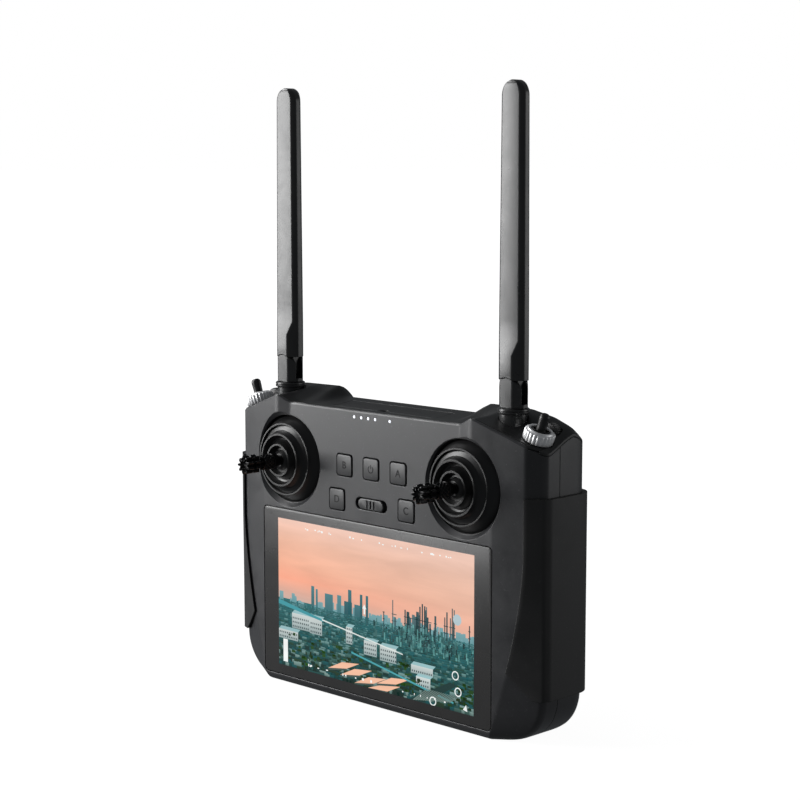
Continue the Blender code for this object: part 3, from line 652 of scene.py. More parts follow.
def deck_rows(x):
    """Points (y, z) of the deck's surface from front to rear at one x."""
    front = rolled_line(DECK_FRONT, x)
    rear = rolled_line(DECK_REAR, x)
    rows = [(DECK_FRONT_Y - 6, front)]
    for step in range(DECK_STEPS):
        share = rolled_line(DECK_CURVE, step / DECK_STEPS, CURVE_REACH)
        rows.append((DECK_FRONT_Y + (DECK_REAR_Y - DECK_FRONT_Y) * step / DECK_STEPS,
                     front + share * (rear - front)))
    for back in ROLL_BACK:
        rows.append((DECK_REAR_Y + back, rear - ROLL_DROP * back ** 2))
    return rows


def deck_height(x, y):
    return along_line(deck_rows(x), y)


DECK_STATIONS = [0, 20, 40] + [41 + 0.8 * i for i in range(66)] + [100]


def above_deck(drop):
    """Everything above the deck's surface, or above a surface that lies a drop below it."""
    rings = []
    for x in [-x for x in reversed(DECK_STATIONS[1:])] + DECK_STATIONS:
        rows = deck_rows(x)
        ring = [(x, y, z - drop) for y, z in rows]
        ring.append((x, rows[-1][0], CASE_TOP + 10))
        ring.append((x, rows[0][0], CASE_TOP + 10))
        rings.append(ring)
    return loft(rings)


FRONT_LINE = [point for point in case_section(CASE_TOP, 0, 0)
              if point[0] < HALF_WIDTH - 0.05 and point[1] < 0]


def edge_wedge(chamfer, inset):
    """Cutter for the small bright chamfer where the front face meets the deck."""
    stations = [x for x in DECK_STATIONS if x < HALF_WIDTH - 1.5]
    rings = []
    for x in [-x for x in reversed(stations[1:])] + stations:
        y = along_line(FRONT_LINE, abs(x)) + inset
        z = rolled_line(DECK_FRONT, x) - chamfer
        rings.append([(x, y - 3, z - 3), (x, y + chamfer + 3, z + chamfer + 3),
                      (x, y + chamfer + 3, z + 12), (x, y - 3, z + 12)])
    return loft(rings)


def side_band(inset, drop, gap):
    """The strips beside the deck where the cover runs out to the side walls."""
    slab = block((-120, SIDE_BAND[0] + gap, 90), (120, SIDE_BAND[1] - gap, 170))
    return common(common(case_form(inset), above_deck(drop)), slab)


print("deck height at the middle", round(deck_height(0, 0), 2))

# %% [markdown]
# ## Front and rear shells
# The shells are one hollow form cut in two. Each opening is a Boolean with its own cutter,
# and the cutters flare where they meet the surface, which leaves the small bright chamfer
# that moulded openings have. The shells stop at a lip, and the deck cover sits inside it.

# %% Cut the shells
GLASS_CENTRE = centre("screen_glass")
GLASS_SIZE = high("screen_glass") - low("screen_glass")
BUTTONS = ("button_b", "button_power", "button_a", "button_d", "button_c")
BUTTON_SIZE = 9.4
SLOT_SIZE = (19.3, 5.3)
LIGHT_X = (-10.6, -6.2, -1.9, 2.4, 11.3)
LIGHT_Z = 128.2
LIGHT_RADIUS = 0.65
TOGGLE_SEAT = 6.8
POCKET_RADIUS = 20.1


TOGGLE_LEAN = math.radians(21)
TOGGLE_PIVOT = 2.5
QUARTER_TURN = math.radians(90)


def toggle_place(word):
    """Matrix on the toggle's seat with Z along the toggle."""
    side = -1 if word == "left" else 1
    axis = Vector((side * math.sin(TOGGLE_LEAN), 0, math.cos(TOGGLE_LEAN)))
    seat = joint_at(f"toggle_{word}_flip") - TOGGLE_PIVOT * axis
    return Matrix.Translation(seat) @ Matrix.Rotation(side * TOGGLE_LEAN, 4, "Y")


def stick_place(word):
    """Matrix on the gimbal's pivot with Z along the stick, towards the user."""
    return Matrix.Translation(joint_at(f"stick_{word}_vertical")) @ Matrix.Rotation(QUARTER_TURN, 4, "X")


def toggle_cylinder(word, radius, start, end):
    return turn_profile(((0, start), (radius, start), (radius, end), (0, end)), 48, toggle_place(word))


def copy_of(item):
    return stand("shape", item.data.copy())


shell = cut(case_form(0), above_deck(0))
shell = cut(shell, case_form(WALL))
shell = cut(shell, common(case_form(LIP), above_deck(COVER_THICKNESS + GAP)))
shell = cut(shell, side_band(-1.0, SIDE_DROP + GAP, 0.0))
shell = cut(shell, edge_wedge(0.45, 0.0))
for _, word in SIDES:
    shell = cut(shell, toggle_cylinder(word, TOGGLE_SEAT, 0, 14))
front = common(copy_of(shell), block((-120, FRONT - 20, -20), (120, -GAP / 2, 170)))
rear = common(shell, block((-120, GAP / 2, -20), (120, BACK + 20, 170)))

# %% Openings in the front shell
middle = (GLASS_CENTRE.x, GLASS_CENTRE.z)
front = cut(front, flared_cutter(GLASS_SIZE.x + 2 * GAP, GLASS_SIZE.z + 2 * GAP, 2.3, middle, FRONT, 1.5,
                                 0.15))
front = cut(front, prism(rounded(126.0, 72.6, 1.0, middle), FRONT - 5, FRONT + 5))
for name in BUTTONS:
    spot = centre(name)
    size = BUTTON_SIZE + 2 * GAP
    front = cut(front, flared_cutter(size, size, 1.5, (spot.x, spot.z), FRONT, 5, 0.22))
spot = centre("mode_slider")
front = cut(front, flared_cutter(*SLOT_SIZE, SLOT_SIZE[1] / 2 - 0.02, (spot.x, spot.z), FRONT, 5, 0.22))
for x in LIGHT_X:
    front = cut(front, bar_back(x, LIGHT_Z, FRONT - 5, FRONT + 5, LIGHT_RADIUS + 0.12, 24))
for _, word in SIDES:
    pivot = joint_at(f"stick_{word}_vertical")
    reach = pivot.y - FRONT
    mouth = ((0, 1), (POCKET_RADIUS + 2.7, 1), (POCKET_RADIUS + 2.7, reach - 2.3),
             (POCKET_RADIUS, reach - 2.3), (POCKET_RADIUS, reach + 9), (0, reach + 9))
    front = cut(front, turn_profile(mouth, 128, stick_place(word)))
    # the lip is a cone whose axis lies a little lower, so it is widest under the stick
    lip = ((0, reach - 1.9), (POCKET_RADIUS - 0.7, reach - 1.9), (POCKET_RADIUS + 2.4, reach + 1.2),
           (POCKET_RADIUS + 2.4, reach + 9), (0, reach + 9))
    front = cut(front, turn_profile(lip, 128, Matrix.Translation((0, 0, -0.85)) @ stick_place(word)))
dress(front, "front_case", CASE, stands_for=("front_shell",), sharp=24)

# %% Openings in the rear shell
FAN = joint_at("fan_spin")
SPEAKER = centre("speaker")
PORT = centre("charge_port")
for row in range(7):
    z = FAN.z - 12 + 4 * row
    rear = cut(rear, prism(rounded(30, 2, 0.95, (0, z)), BACK - 6, BACK + 5))
for column in range(-2, 3):
    x = SPEAKER.x + 4 * column
    rear = cut(rear, prism(rounded(1.8, 16, 0.85, (x, SPEAKER.z)), BACK - 6, BACK + 5))
opening = rounded(9.8, 4.2, 1.9, (PORT.x, PORT.y))
rear = cut(rear, loft([[(x, y, z) for x, y in opening] for z in (-5, 5)]))
SCREWS = [(side * 78, z) for z in (16, 62, 108) for side, _ in SIDES]
SCREW_SEAT = 3.4
for x, z in SCREWS:
    rear = cut(rear, bar_back(x, z, BACK - 1.6, BACK + 4, SCREW_SEAT, 40))
dress(rear, "rear_case", CASE, stands_for=("rear_shell",), sharp=24)

# %% [markdown]
# ## Deck cover and port flap
# The cover drops inside the lip and carries everything on the top: spot-faced seats for the
# antenna collars and the toggle switches, a slot for each dial, and the flap over the ports.

# %% Deck cover
ANTENNA_AT = {word: joint_at(f"antenna_{word}_swivel") for _, word in SIDES}
DIAL_AT = {word: joint_at(f"dial_{word}_turn") for _, word in SIDES}
DIAL_RADIUS = (high("dial_wheel_right").x - low("dial_wheel_right").x) / 2
FLAP_LOW, FLAP_HIGH = low("top_port_flap"), high("top_port_flap")
COLLAR_BOSS, COLLAR_SEAT, COLLAR_HOLE = 8.6, 7.05, 6.2
BUSH_HOLE = 4.1
DIAL_SLOT = 2.1
DIAL_GAP = 0.35

cover = common(case_form(LIP + GAP), above_deck(COVER_THICKNESS))
cover = join(cover, side_band(0.0, SIDE_DROP, GAP))
bosses = None
for _, word in SIDES:
    at = ANTENNA_AT[word]
    for part in (bar_up(at, 129.6, 145, COLLAR_BOSS, 48),
                 toggle_cylinder(word, TOGGLE_SEAT + 0.4, -COVER_THICKNESS, 12)):
        bosses = part if bosses is None else join(bosses, part)
cover = join(cover, common(bosses, case_form(WALL + GAP)))
cover = cut(cover, above_deck(0))
cover = cut(cover, edge_wedge(0.35, LIP + GAP))
for _, word in SIDES:
    at, dial = ANTENNA_AT[word], DIAL_AT[word]
    cover = cut(cover, bar_up(at, at.z - 2.6, CASE_TOP, COLLAR_SEAT, 64))
    cover = cut(cover, bar_up(at, 120, CASE_TOP, COLLAR_HOLE, 64))
    cover = cut(cover, toggle_cylinder(word, TOGGLE_SEAT, 0, 14))
    cover = cut(cover, toggle_cylinder(word, BUSH_HOLE, -8, 8))
    cover = cut(cover, bar_back(dial.x, dial.z, dial.y - DIAL_SLOT, dial.y + DIAL_SLOT,
                                DIAL_RADIUS + DIAL_GAP, 64))
cover = cut(cover, block((LIGHT_X[0] - 4, FRONT - 5, 120), (LIGHT_X[-1] + 4, FRONT + 5.2, LIGHT_Z + 1.2)))
recess = block((FLAP_LOW.x - GAP, FLAP_LOW.y - GAP, 120), (FLAP_HIGH.x + GAP, FLAP_HIGH.y + GAP, 150))
cover = cut(cover, common(recess, above_deck(1.9)))
cover = cut(cover, block((FLAP_LOW.x + 2, FLAP_LOW.y + 2, 120), (FLAP_HIGH.x - 2, FLAP_HIGH.y - 2, 150)))
dress(cover, "deck_cover", DECK, stands_for=("top_cover",), sharp=24)

# %% Port flap
flap = block((FLAP_LOW.x, FLAP_LOW.y, 120), (FLAP_HIGH.x, FLAP_HIGH.y, 150))
flap = cut(common(flap, above_deck(1.6)), above_deck(0))
notch = bar((0, FLAP_LOW.y - 0.4, 128.5), (0, FLAP_LOW.y - 0.4, 134), 3.2, 40)
flap = cut(flap, notch)
dress(flap, "port_flap", DECK, "top_port_flap", ("top_port_flap",))

# %% [markdown]
# ## Rubber side grips
# Each grip is the case outline pushed out by two millimetres and trimmed to the panel's own
# outline, whose front edge lies on the crease. A bevel rolls its rim over, because rubber
# is never cut to a knife edge.

# %% Side grips
GRIP_TOP, GRIP_CORNER, GRIP_LOW = 103.5, 30.6, 19.8


def side_grip(side, word):
    heights = [GRIP_CORNER + (GRIP_TOP - GRIP_CORNER) * i / 14 for i in range(15)]
    outline = [(side * 110, GRIP_TOP)]
    outline += [(side * (crease(z) - 0.1), z) for z in reversed(heights)]
    outline += [(side * 88.5, GRIP_LOW), (side * 110, GRIP_LOW)]
    pad = cut(case_form(-2.2, -0.9), case_form(-0.15))
    pad = common(pad, prism(outline, FRONT - 20, BACK + 20))
    dress(pad, f"side_grip_{word}", GRIP, stands_for=(f"grip_{word}",), sharp=24)


for side, word in SIDES:
    side_grip(side, word)

# %% [markdown]
# ## Screen
# The cover glass is one thin rounded slab. The picture on it is a view over a made-up
# industrial town at sunset. It is painted with flat coloured patches, back to front, the
# way a stage set is: sky first, then far towers in haze, then nearer blocks, roofs, trees
# and roads, and the controller's own white marks on top. Everything is drawn by rules and
# a fixed seed, so it is the same town every time.

# %% Screen glass
glass = rolled_block(GLASS_SIZE.x, GLASS_SIZE.z, 2.0, middle, low("screen_glass").y, high("screen_glass").y,
                     0.3)
dress(glass, "cover_glass", GLASS, stands_for=("screen_glass",))

# %% Screen picture
PICTURE_SIZE = (121.5, 68.4)
HORIZON = 31.5


def linear(red, green, blue):
    """Display colour from 0 to 255 as linear light."""
    return tuple(((c / 255 + 0.055) / 1.055) ** 2.4 if c > 10 else c / 255 / 12.92
                 for c in (red, green, blue))


def blend_colour(first, second, share):
    return tuple(a + (b - a) * share for a, b in zip(first, second))


class Painting:
    """Flat patches on the screen. Each patch lies a hair in front of the one before."""

    def __init__(self):
        self.bm = bmesh.new()
        self.paint = self.bm.loops.layers.float_color.new("Paint")
        self.left = GLASS_CENTRE.x - PICTURE_SIZE[0] / 2
        self.foot = GLASS_CENTRE.z - PICTURE_SIZE[1] / 2
        self.surface = low("screen_glass").y - 0.004

    def patch(self, points, colours, layer):
        """points run round the patch in picture millimetres; colours is one colour or one each."""
        if isinstance(colours[0], (int, float)):
            colours = [colours] * len(points)
        verts = []
        for u, v in points:
            u = min(max(u, 0), PICTURE_SIZE[0])
            v = min(max(v, 0), PICTURE_SIZE[1])
            verts.append(self.bm.verts.new((self.left + u, self.surface - 0.0022 * layer, self.foot + v)))
        face = self.bm.faces.new(verts)
        for loop, colour in zip(face.loops, colours):
            loop[self.paint] = (*linear(*colour), 1)

    def rectangle(self, u, v, width, height, colour, layer, lower=None):
        points = ((u, v), (u + width, v), (u + width, v + height), (u, v + height))
        lower = lower or colour
        self.patch(points, (lower, lower, colour, colour), layer)

    def ring(self, u, v, radius, thick, colour, layer):
        steps = 20
        for i in range(steps):
            a, b = (2 * math.pi * k / steps for k in (i, i + 1))
            spots = [(u + r * math.cos(t), v + r * math.sin(t)) for r, t in
                     ((radius - thick, a), (radius, a), (radius, b), (radius - thick, b))]
            self.patch(spots, colour, layer)


def paint_sky(art):
    columns, rows = 18, 12
    bands = ((0.0, (186, 172, 166)), (0.12, (214, 172, 156)), (0.3, (250, 168, 138)),
             (0.48, (244, 178, 148)), (0.75, (238, 184, 158)), (1.0, (244, 204, 188)))

    def colour(u, v):
        height = (v - HORIZON + 4) / (PICTURE_SIZE[1] - HORIZON + 4)
        height += 0.10 * (u / PICTURE_SIZE[0] - 0.4)
        height = min(max(height, 0), 1)
        for (h0, c0), (h1, c1) in zip(bands, bands[1:]):
            if height <= h1:
                base = blend_colour(c0, c1, (height - h0) / (h1 - h0))
                break
        return blend_colour(base, (228, 190, 172), 0.55 * u / PICTURE_SIZE[0])

    foot = HORIZON - 4
    for i in range(columns):
        for j in range(rows):
            us = [PICTURE_SIZE[0] * k / columns for k in (i, i + 1)]
            vs = [foot + (PICTURE_SIZE[1] - foot) * k / rows for k in (j, j + 1)]
            corners = [(us[0], vs[0]), (us[1], vs[0]), (us[1], vs[1]), (us[0], vs[1])]
            art.patch(corners, [colour(u, v) for u, v in corners], 0)


def paint_ground(art, chance):
    """Rows of small roofs, walls and trees, larger and darker towards the viewer."""
    art.rectangle(0, 0, PICTURE_SIZE[0], HORIZON, (40, 106, 110), 1, (20, 44, 38))
    tones = ((22, 66, 64), (36, 82, 80), (18, 44, 38), (70, 104, 96), (36, 60, 40), (128, 156, 150),
             (22, 84, 88))
    for row in range(30):
        depth = row / 29
        v = HORIZON - 1.2 - (HORIZON - 1) * depth ** 1.25
        size = 0.5 + 1.9 * depth
        u = -1.0
        while u < PICTURE_SIZE[0]:
            width = size * chance.uniform(0.5, 2.2)
            height = size * chance.uniform(0.35, 0.95)
            tone = blend_colour(chance.choice(tones), (52, 138, 146), 0.6 * (1 - depth))
            art.rectangle(u, v, width, height, tone, 2 + row * 0.1, blend_colour(tone, (16, 34, 34), 0.4))
            u += width * chance.uniform(0.7, 1.15)


def paint_towers(art, chance):
    """Chimneys and columns that stand above the horizon, clustered to the right."""
    haze = (122, 166, 172)
    for _ in range(90):
        u = chance.uniform(0, PICTURE_SIZE[0])
        art.rectangle(u, HORIZON - 3, chance.uniform(0.8, 3), chance.uniform(2.5, 6.2), haze, 1.2,
                      (92, 140, 146))
    for u, width, top, tone in ((22, 2.0, 40, 92), (25, 1.3, 39, 100), (31, 5.2, 38, 96),
                                (39, 2.6, 38.5, 110),
                                (43.5, 5.0, 36.5, 70), (46, 2.2, 42, 82), (50, 4.0, 36, 86),
                                (53.5, 1.6, 41, 74), (57.2, 1.5, 41, 78)):
        art.rectangle(u, HORIZON - 4, width, top - HORIZON + 4, (tone - 18, tone + 34, tone + 42), 1.4,
                      (tone - 44, tone + 2, tone + 8))
    for _ in range(34):
        u = chance.gauss(90, 14)
        width = chance.choice((0.6, 0.8, 1.1, 1.7))
        top = chance.uniform(34, 40) + (4.5 if width < 1 and chance.random() > 0.5 else 0)
        if not 66 < u < 119:
            continue
        tone = chance.uniform(44, 92)
        art.rectangle(u, HORIZON - 7, width, top - HORIZON + 7, (tone, tone + 26, tone + 30), 1.6,
                      (tone * 0.5, tone * 0.9, tone))
        for step in range(3):
            art.rectangle(u - 0.35, HORIZON - 2 + 3 * step, width + 0.7, 0.35,
                          (tone - 20, tone + 4, tone + 8), 1.7)
    for _ in range(260):
        u = min(max(chance.gauss(92, 15), 62), 120)
        v = HORIZON - chance.uniform(1, 10)
        tone = chance.uniform(20, 150)
        art.rectangle(u, v, chance.uniform(0.25, 1.3), chance.uniform(0.4, 3.4),
                      (tone * 0.7, tone * 1.05 + 12, tone + 16), 4.4)


def paint_blocks(art, chance):
    """White buildings with rows of windows, salmon roofs, lawns and roads."""
    for u, v, width, height in ((9, 18.5, 12.0, 7.0), (21, 18.0, 8.0, 7.4), (56, 14.6, 8, 6.4),
                                (66, 13.8, 10, 6.6),
                                (44.6, 17.5, 4.0, 7.6), (85, 12, 13, 3.6), (88, 6.4, 8.5, 4.6),
                                (0, 12.6, 13, 4.2)):
        art.rectangle(u, v, width, height, (204, 212, 210), 5, (150, 168, 168))
        art.patch(((u, v + height), (u + width, v + height), (u + width + 1.6, v + height + 1.5),
                   (u + 1.6, v + height + 1.5)), (150, 190, 194), 5)
        rows = max(int(height / 1.9), 1)
        for row in range(rows):
            for column in range(int(width / 1.25)):
                art.rectangle(u + 0.5 + 1.25 * column, v + 0.6 + 1.9 * row, 0.6, 0.8, (46, 66, 70), 5.4)
    for u, v in ((33, 4.2), (41, 2.6), (50, 0.6), (58.5, -1.2), (64, 3.0)):
        art.patch(((u, v), (u + 12, v + 1.8), (u + 20, v + 5.4), (u + 9, v + 4.2)), (244, 190, 160), 6)
        art.patch(((u, v), (u + 12, v + 1.8), (u + 12, v + 0.9), (u, v - 0.9)), (70, 86, 82), 6.1)
    for _ in range(150):
        u = chance.choice((chance.gauss(18, 6), chance.gauss(46, 9), chance.gauss(80, 5),
                           chance.gauss(116, 4)))
        v = chance.uniform(2, 15) if u < 100 else chance.uniform(0, 12)
        tone = chance.uniform(0.6, 1.15)
        art.rectangle(u, v, chance.uniform(0.8, 2.6), chance.uniform(0.5, 1.6),
                      (34 * tone, 70 * tone, 26 * tone), 5.6)
    art.patch(((0, 28.5), (30, 24.6), (30, 25.6), (0, 30.6)), (64, 150, 160), 6)
    art.patch(((29, 25.2), (80, 18.6), (80, 19.1), (29, 25.8)), (226, 234, 230), 6.2)
    art.patch(((48, 13.6), (110, 3.0), (110, 3.8), (48, 14.4)), (74, 160, 168), 6.3)
    art.patch(((84, 0), (92, 0), (112, 11), (108, 12)), (28, 56, 54), 6.4)
    for step in range(16):
        art.patch(((86 + step * 1.4, 0.2 + step * 0.2), (87 + step * 1.4, 0.2 + step * 0.2),
                   (95 + step * 1.2, 6.5), (94.4 + step * 1.2, 6.5)), (112, 132, 126), 6.5)


def paint_marks(art, chance):
    """The white marks that the controller draws over its picture: generic bars and dials."""
    white = (244, 248, 246)
    art.rectangle(3.0, 1.8, 3.0, 10.6, white, 8)
    for u, v in ((111, 15.4), (112.6, 8.6), (98, 1.8)):
        art.ring(u, v, 2.0, 0.5, white, 8)
    art.ring(112, 39.5, 2.4, 2.3, (176, 196, 202), 8)
    art.patch(((55.0, 35.0), (57.6, 35.0), (56.3, 37.0)), white, 8)
    art.rectangle(55.9, 32.6, 0.9, 2.6, white, 8)
    art.patch(((115.4, 1.6), (118.0, 1.2), (117.2, 4.0)), white, 8)
    for row, count, tall in ((65.2, 26, 0.9), (2.4, 16, 1.2)):
        for _ in range(count):
            u = chance.uniform(12, 108)
            art.rectangle(u, row + chance.uniform(-0.3, 0.3), chance.uniform(0.4, 1.3),
                          tall * chance.uniform(0.4, 1), white, 8)


art = Painting()
chance = random.Random(7)
paint_sky(art)
paint_ground(art, chance)
paint_towers(art, chance)
paint_blocks(art, chance)
paint_marks(art, chance)
bmesh.ops.scale(art.bm, vec=(MM, MM, MM), verts=art.bm.verts)
picture_mesh = bpy.data.meshes.new("screen_picture")
art.bm.to_mesh(picture_mesh)
art.bm.free()
picture = stand("screen_picture", picture_mesh)
picture_mesh.materials.append(PICTURE)
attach(picture, "case")
print("picture patches", len(picture_mesh.polygons))

# %% [markdown]
# ## Keys, slide switch and status lights
# A key is a rolled block with its legend standing a hair proud. The letters come from a text
# curve, and the power mark is an arc with a stroke. Each legend is a thin piece of its own
# that rides with its key.

# %% Keys
KEY_PROUD = 0.35
KEY_SIZE = BUTTON_SIZE - 0.3
POWER_RADIUS = 1.7
POWER_STROKE = 0.42
LETTER_SIZE = 4.6


def flat_letter(letter, spot, size):
    """A letter as a thin solid standing on the key's face, ready in place."""
    curve = bpy.data.curves.new("letter", "FONT")
    curve.body = letter
    curve.size = size * MM
    curve.align_x = "CENTER"
    curve.align_y = "CENTER"
    curve.extrude = 0.05 * MM
    curve.offset = 0.04 * MM
    text = stand("letter", curve)
    mesh = bpy.data.meshes.new_from_object(text.evaluated_get(bpy.context.evaluated_depsgraph_get()))
    bpy.data.objects.remove(text, do_unlink=True)
    mesh.transform(Matrix.Translation(Vector(spot) * MM) @ Matrix.Rotation(QUARTER_TURN, 4, "X"))
    return stand("letter", mesh)


def power_mark(spot, radius):
    """Broken ring with a stroke through the gap."""
    bm = bmesh.new()
    thick = POWER_STROKE
    steps = 30
    angles = [math.radians(125 + 290 * i / steps) for i in range(steps + 1)]
    strips = [[(r * math.cos(a), r * math.sin(a)) for r in (radius - thick, radius)] for a in angles]
    strips = [strips, [[(-thick / 2, h), (thick / 2, h)] for h in (0.2, radius + 0.3)]]
    for strip in strips:
        rings = []
        for pair in strip:
            rings.append([bm.verts.new((spot.x + u, spot.y + d, spot.z + v))
                          for u, v, d in ((*pair[0], -0.05), (*pair[1], -0.05), (*pair[1], 0.05),
                                          (*pair[0], 0.05))])
        for a, b in zip(rings, rings[1:]):
            for i in range(4):
                bm.faces.new((a[i], a[(i + 1) % 4], b[(i + 1) % 4], b[i]))
        bm.faces.new(rings[0])
        bm.faces.new(rings[-1])
    return to_object(bm)


def key(name):
    spot = centre(name)
    face = FRONT - KEY_PROUD
    label = name.split("_")[1]
    cap = rolled_block(KEY_SIZE, KEY_SIZE, 1.2, (spot.x, spot.z), face, FRONT + 3.9, 0.22)
    dress(cap, f"key_{label}", BUTTON, name, (name,))
    face_spot = Vector((spot.x, face, spot.z))
    if label == "power":
        mark = power_mark(face_spot, POWER_RADIUS)
    else:
        mark = flat_letter(label.upper(), face_spot, LETTER_SIZE)
    dress(mark, f"legend_{label}", LEGEND, name)


for name in BUTTONS:
    key(name)

# %% Slide switch
spot = centre("mode_slider")
knob = rolled_block(15.5, 4.7, 2.3, (spot.x, spot.z), low("mode_slider").y, FRONT + 3.7, 0.4)
for offset in (-2.1, 0, 2.1):
    groove = rounded(0.8, 3.7, 0.38, (spot.x + offset, spot.z))
    knob = cut(knob, prism(groove, FRONT - 3, FRONT + 0.35))
dress(knob, "slide_knob", BUTTON, "mode_slider", ("mode_slider",))

# %% Status lights
for number, x in enumerate(LIGHT_X):
    lens = ((0, -3.0), (LIGHT_RADIUS, -3.0), (LIGHT_RADIUS, -0.1), (0.5, 0.03), (0.25, 0.075), (0, 0.08))
    place = Matrix.Translation((x, FRONT, LIGHT_Z)) @ Matrix.Rotation(QUARTER_TURN, 4, "X")
    item = turn_profile(lens, 24, place)
    stands_for = ("status_light_guide",) if number == 0 else ()
    dress(item, f"status_light_{number + 1}", LAMP, stands_for=stands_for)

# %% [markdown]
# ## Geometry Nodes for what repeats
# Knurls, flutes and teeth are one rule: the skin of a turned piece is pulled in along a
# wave that runs round it. A slow deep wave gives the crown teeth of the stick caps, a
# shallow one the flutes of the toggle nuts and dials. Two twisted waves that cross give
# the diamond knurl of the stick sleeves. One tree does all of them, only with other sizes.

# %% Tree that cuts flutes into a turned surface


def shape_tree(name, numbers):
    """Empty tree with a geometry input, named numbers and a finish."""
    tree = bpy.data.node_groups.new(name, "GeometryNodeTree")
    tree.interface.new_socket("Geometry", in_out="INPUT", socket_type="NodeSocketGeometry")
    for label in numbers:
        tree.interface.new_socket(label, in_out="INPUT", socket_type="NodeSocketFloat")
    tree.interface.new_socket("Finish", in_out="INPUT", socket_type="NodeSocketMaterial")
    tree.interface.new_socket("Geometry", in_out="OUTPUT", socket_type="NodeSocketGeometry")
    return tree, tree.nodes.new("NodeGroupInput").outputs, tree.nodes.new("NodeGroupOutput")


def finish_tree(tree, start, end, geometry):
    """Realize the copies, set the finish and hand the geometry out."""
    real = add(tree, "GeometryNodeRealizeInstances", {"Geometry": geometry})
    finish = add(tree, "GeometryNodeSetMaterial",
                 {"Geometry": real.outputs[0], "Material": start["Finish"]})
    tree.links.new(finish.outputs[0], end.inputs[0])
    return tree


def flute_tree():
    """Pull the skin beyond a start radius inwards along a wave that runs round the axis."""
    tree, start, end = shape_tree("flutes", ("Count", "Depth", "Start Radius", "Sharpness", "Twist",
                                             "Crossed"))

    def maths(operation, first, second=0.0):
        return add(tree, "ShaderNodeMath", {0: first, 1: second}, operation=operation).outputs[0]

    position = add(tree, "GeometryNodeInputPosition").outputs[0]
    parts = add(tree, "ShaderNodeSeparateXYZ", {0: position}).outputs
    angle = maths("ARCTAN2", parts[1], parts[0])
    lead = maths("MULTIPLY", parts[2], start["Twist"])
    waves = []
    for hand in (1.0, -1.0):
        turned = maths("ADD", angle, maths("MULTIPLY", lead, hand))
        swing = maths("COSINE", maths("MULTIPLY", turned, start["Count"]))
        waves.append(maths("POWER", maths("MULTIPLY", maths("ADD", swing, 1.0), 0.5), start["Sharpness"]))
    cross = maths("MULTIPLY", waves[1], start["Crossed"])
    wave = maths("MAXIMUM", waves[0], cross)
    flat = add(tree, "ShaderNodeCombineXYZ", {0: parts[0], 1: parts[1]}).outputs[0]
    radius = add(tree, "ShaderNodeVectorMath", {0: flat}, operation="LENGTH").outputs["Value"]
    outside = maths("GREATER_THAN", radius, start["Start Radius"])
    pull = maths("MULTIPLY", maths("MULTIPLY", wave, start["Depth"]), maths("MULTIPLY", outside, -1.0))
    direction = add(tree, "ShaderNodeVectorMath", {0: flat}, operation="NORMALIZE").outputs[0]
    offset = add(tree, "ShaderNodeVectorMath", {0: direction, "Scale": pull}, operation="SCALE").outputs[0]
    moved = add(tree, "GeometryNodeSetPosition", {"Geometry": start["Geometry"], "Offset": offset})
    return finish_tree(tree, start, end, moved.outputs[0])


FLUTES = flute_tree()


def run_tree(core, tree, values):
    """Put a tree on an object, set its inputs by their sockets' identifiers and apply it."""
    modifier = core.modifiers.new("shape", "NODES")
    modifier.node_group = tree
    keys = {item.name: item.identifier for item in tree.interface.items_tree if item.in_out == "INPUT"}
    for name, value in values.items():
        modifier[keys[name]] = value
    graph = bpy.context.evaluated_depsgraph_get()
    mesh = bpy.data.meshes.new_from_object(core.evaluated_get(graph))
    core.modifiers.clear()
    core.data = mesh
    return core


def dense(profile, reach):
    """The same profile with extra points, so that no step along it is longer than reach."""
    result = []
    for first, second in zip(profile, profile[1:]):
        steps = max(math.ceil(math.dist(first, second) / reach), 1)
        result += [tuple(a + (b - a) * k / steps for a, b in zip(first, second)) for k in range(steps)]
    return result + [profile[-1]]


def fluted(profile, place, finish, count, depth, start, sharpness=1.0, twist=0.0, crossed=0.0, per_flute=8,
           reach=9.0):
    """A turned piece with flutes. Sizes are in millimetres."""
    core = turn_profile(dense(profile, reach), count * per_flute, Matrix.Identity(4))
    run_tree(core, FLUTES, {"Count": float(count), "Depth": depth * MM, "Start Radius": start * MM,
                            "Sharpness": sharpness, "Twist": twist / MM, "Crossed": crossed,
                            "Finish": finish})
    move = place.copy()
    move.translation = place.to_translation() * MM
    core.data.transform(move)
    return core


print("tree", FLUTES.name, "nodes", len(FLUTES.nodes))

# %% [markdown]
# ## Rubber boots
# The boot is a bellows: rings of equal pitch on a dome. Each ring is a narrow flat crest
# between two steep flanks that meet the next ring's flank in a sharp valley, so only the
# crests catch the light. The outermost ring belongs to the bezel that clamps the skirt.

# %% Boots and bezels
CREST_RADII = (7.0, 11.55)
CREST_HEIGHTS = (16.2, 15.45)
FLANK = ((0.4, 0.0), (0.52, 0.3), (0.68, 0.9), (1.05, 1.95), (1.5, 2.75), (2.27, 3.15))


def flank(crest, side):
    """Points down one side of a crest. side is -1 towards the stick and 1 away from it."""
    points = [(crest[0] + side * out, crest[1] - down) for out, down in FLANK]
    return points if side > 0 else points[::-1]


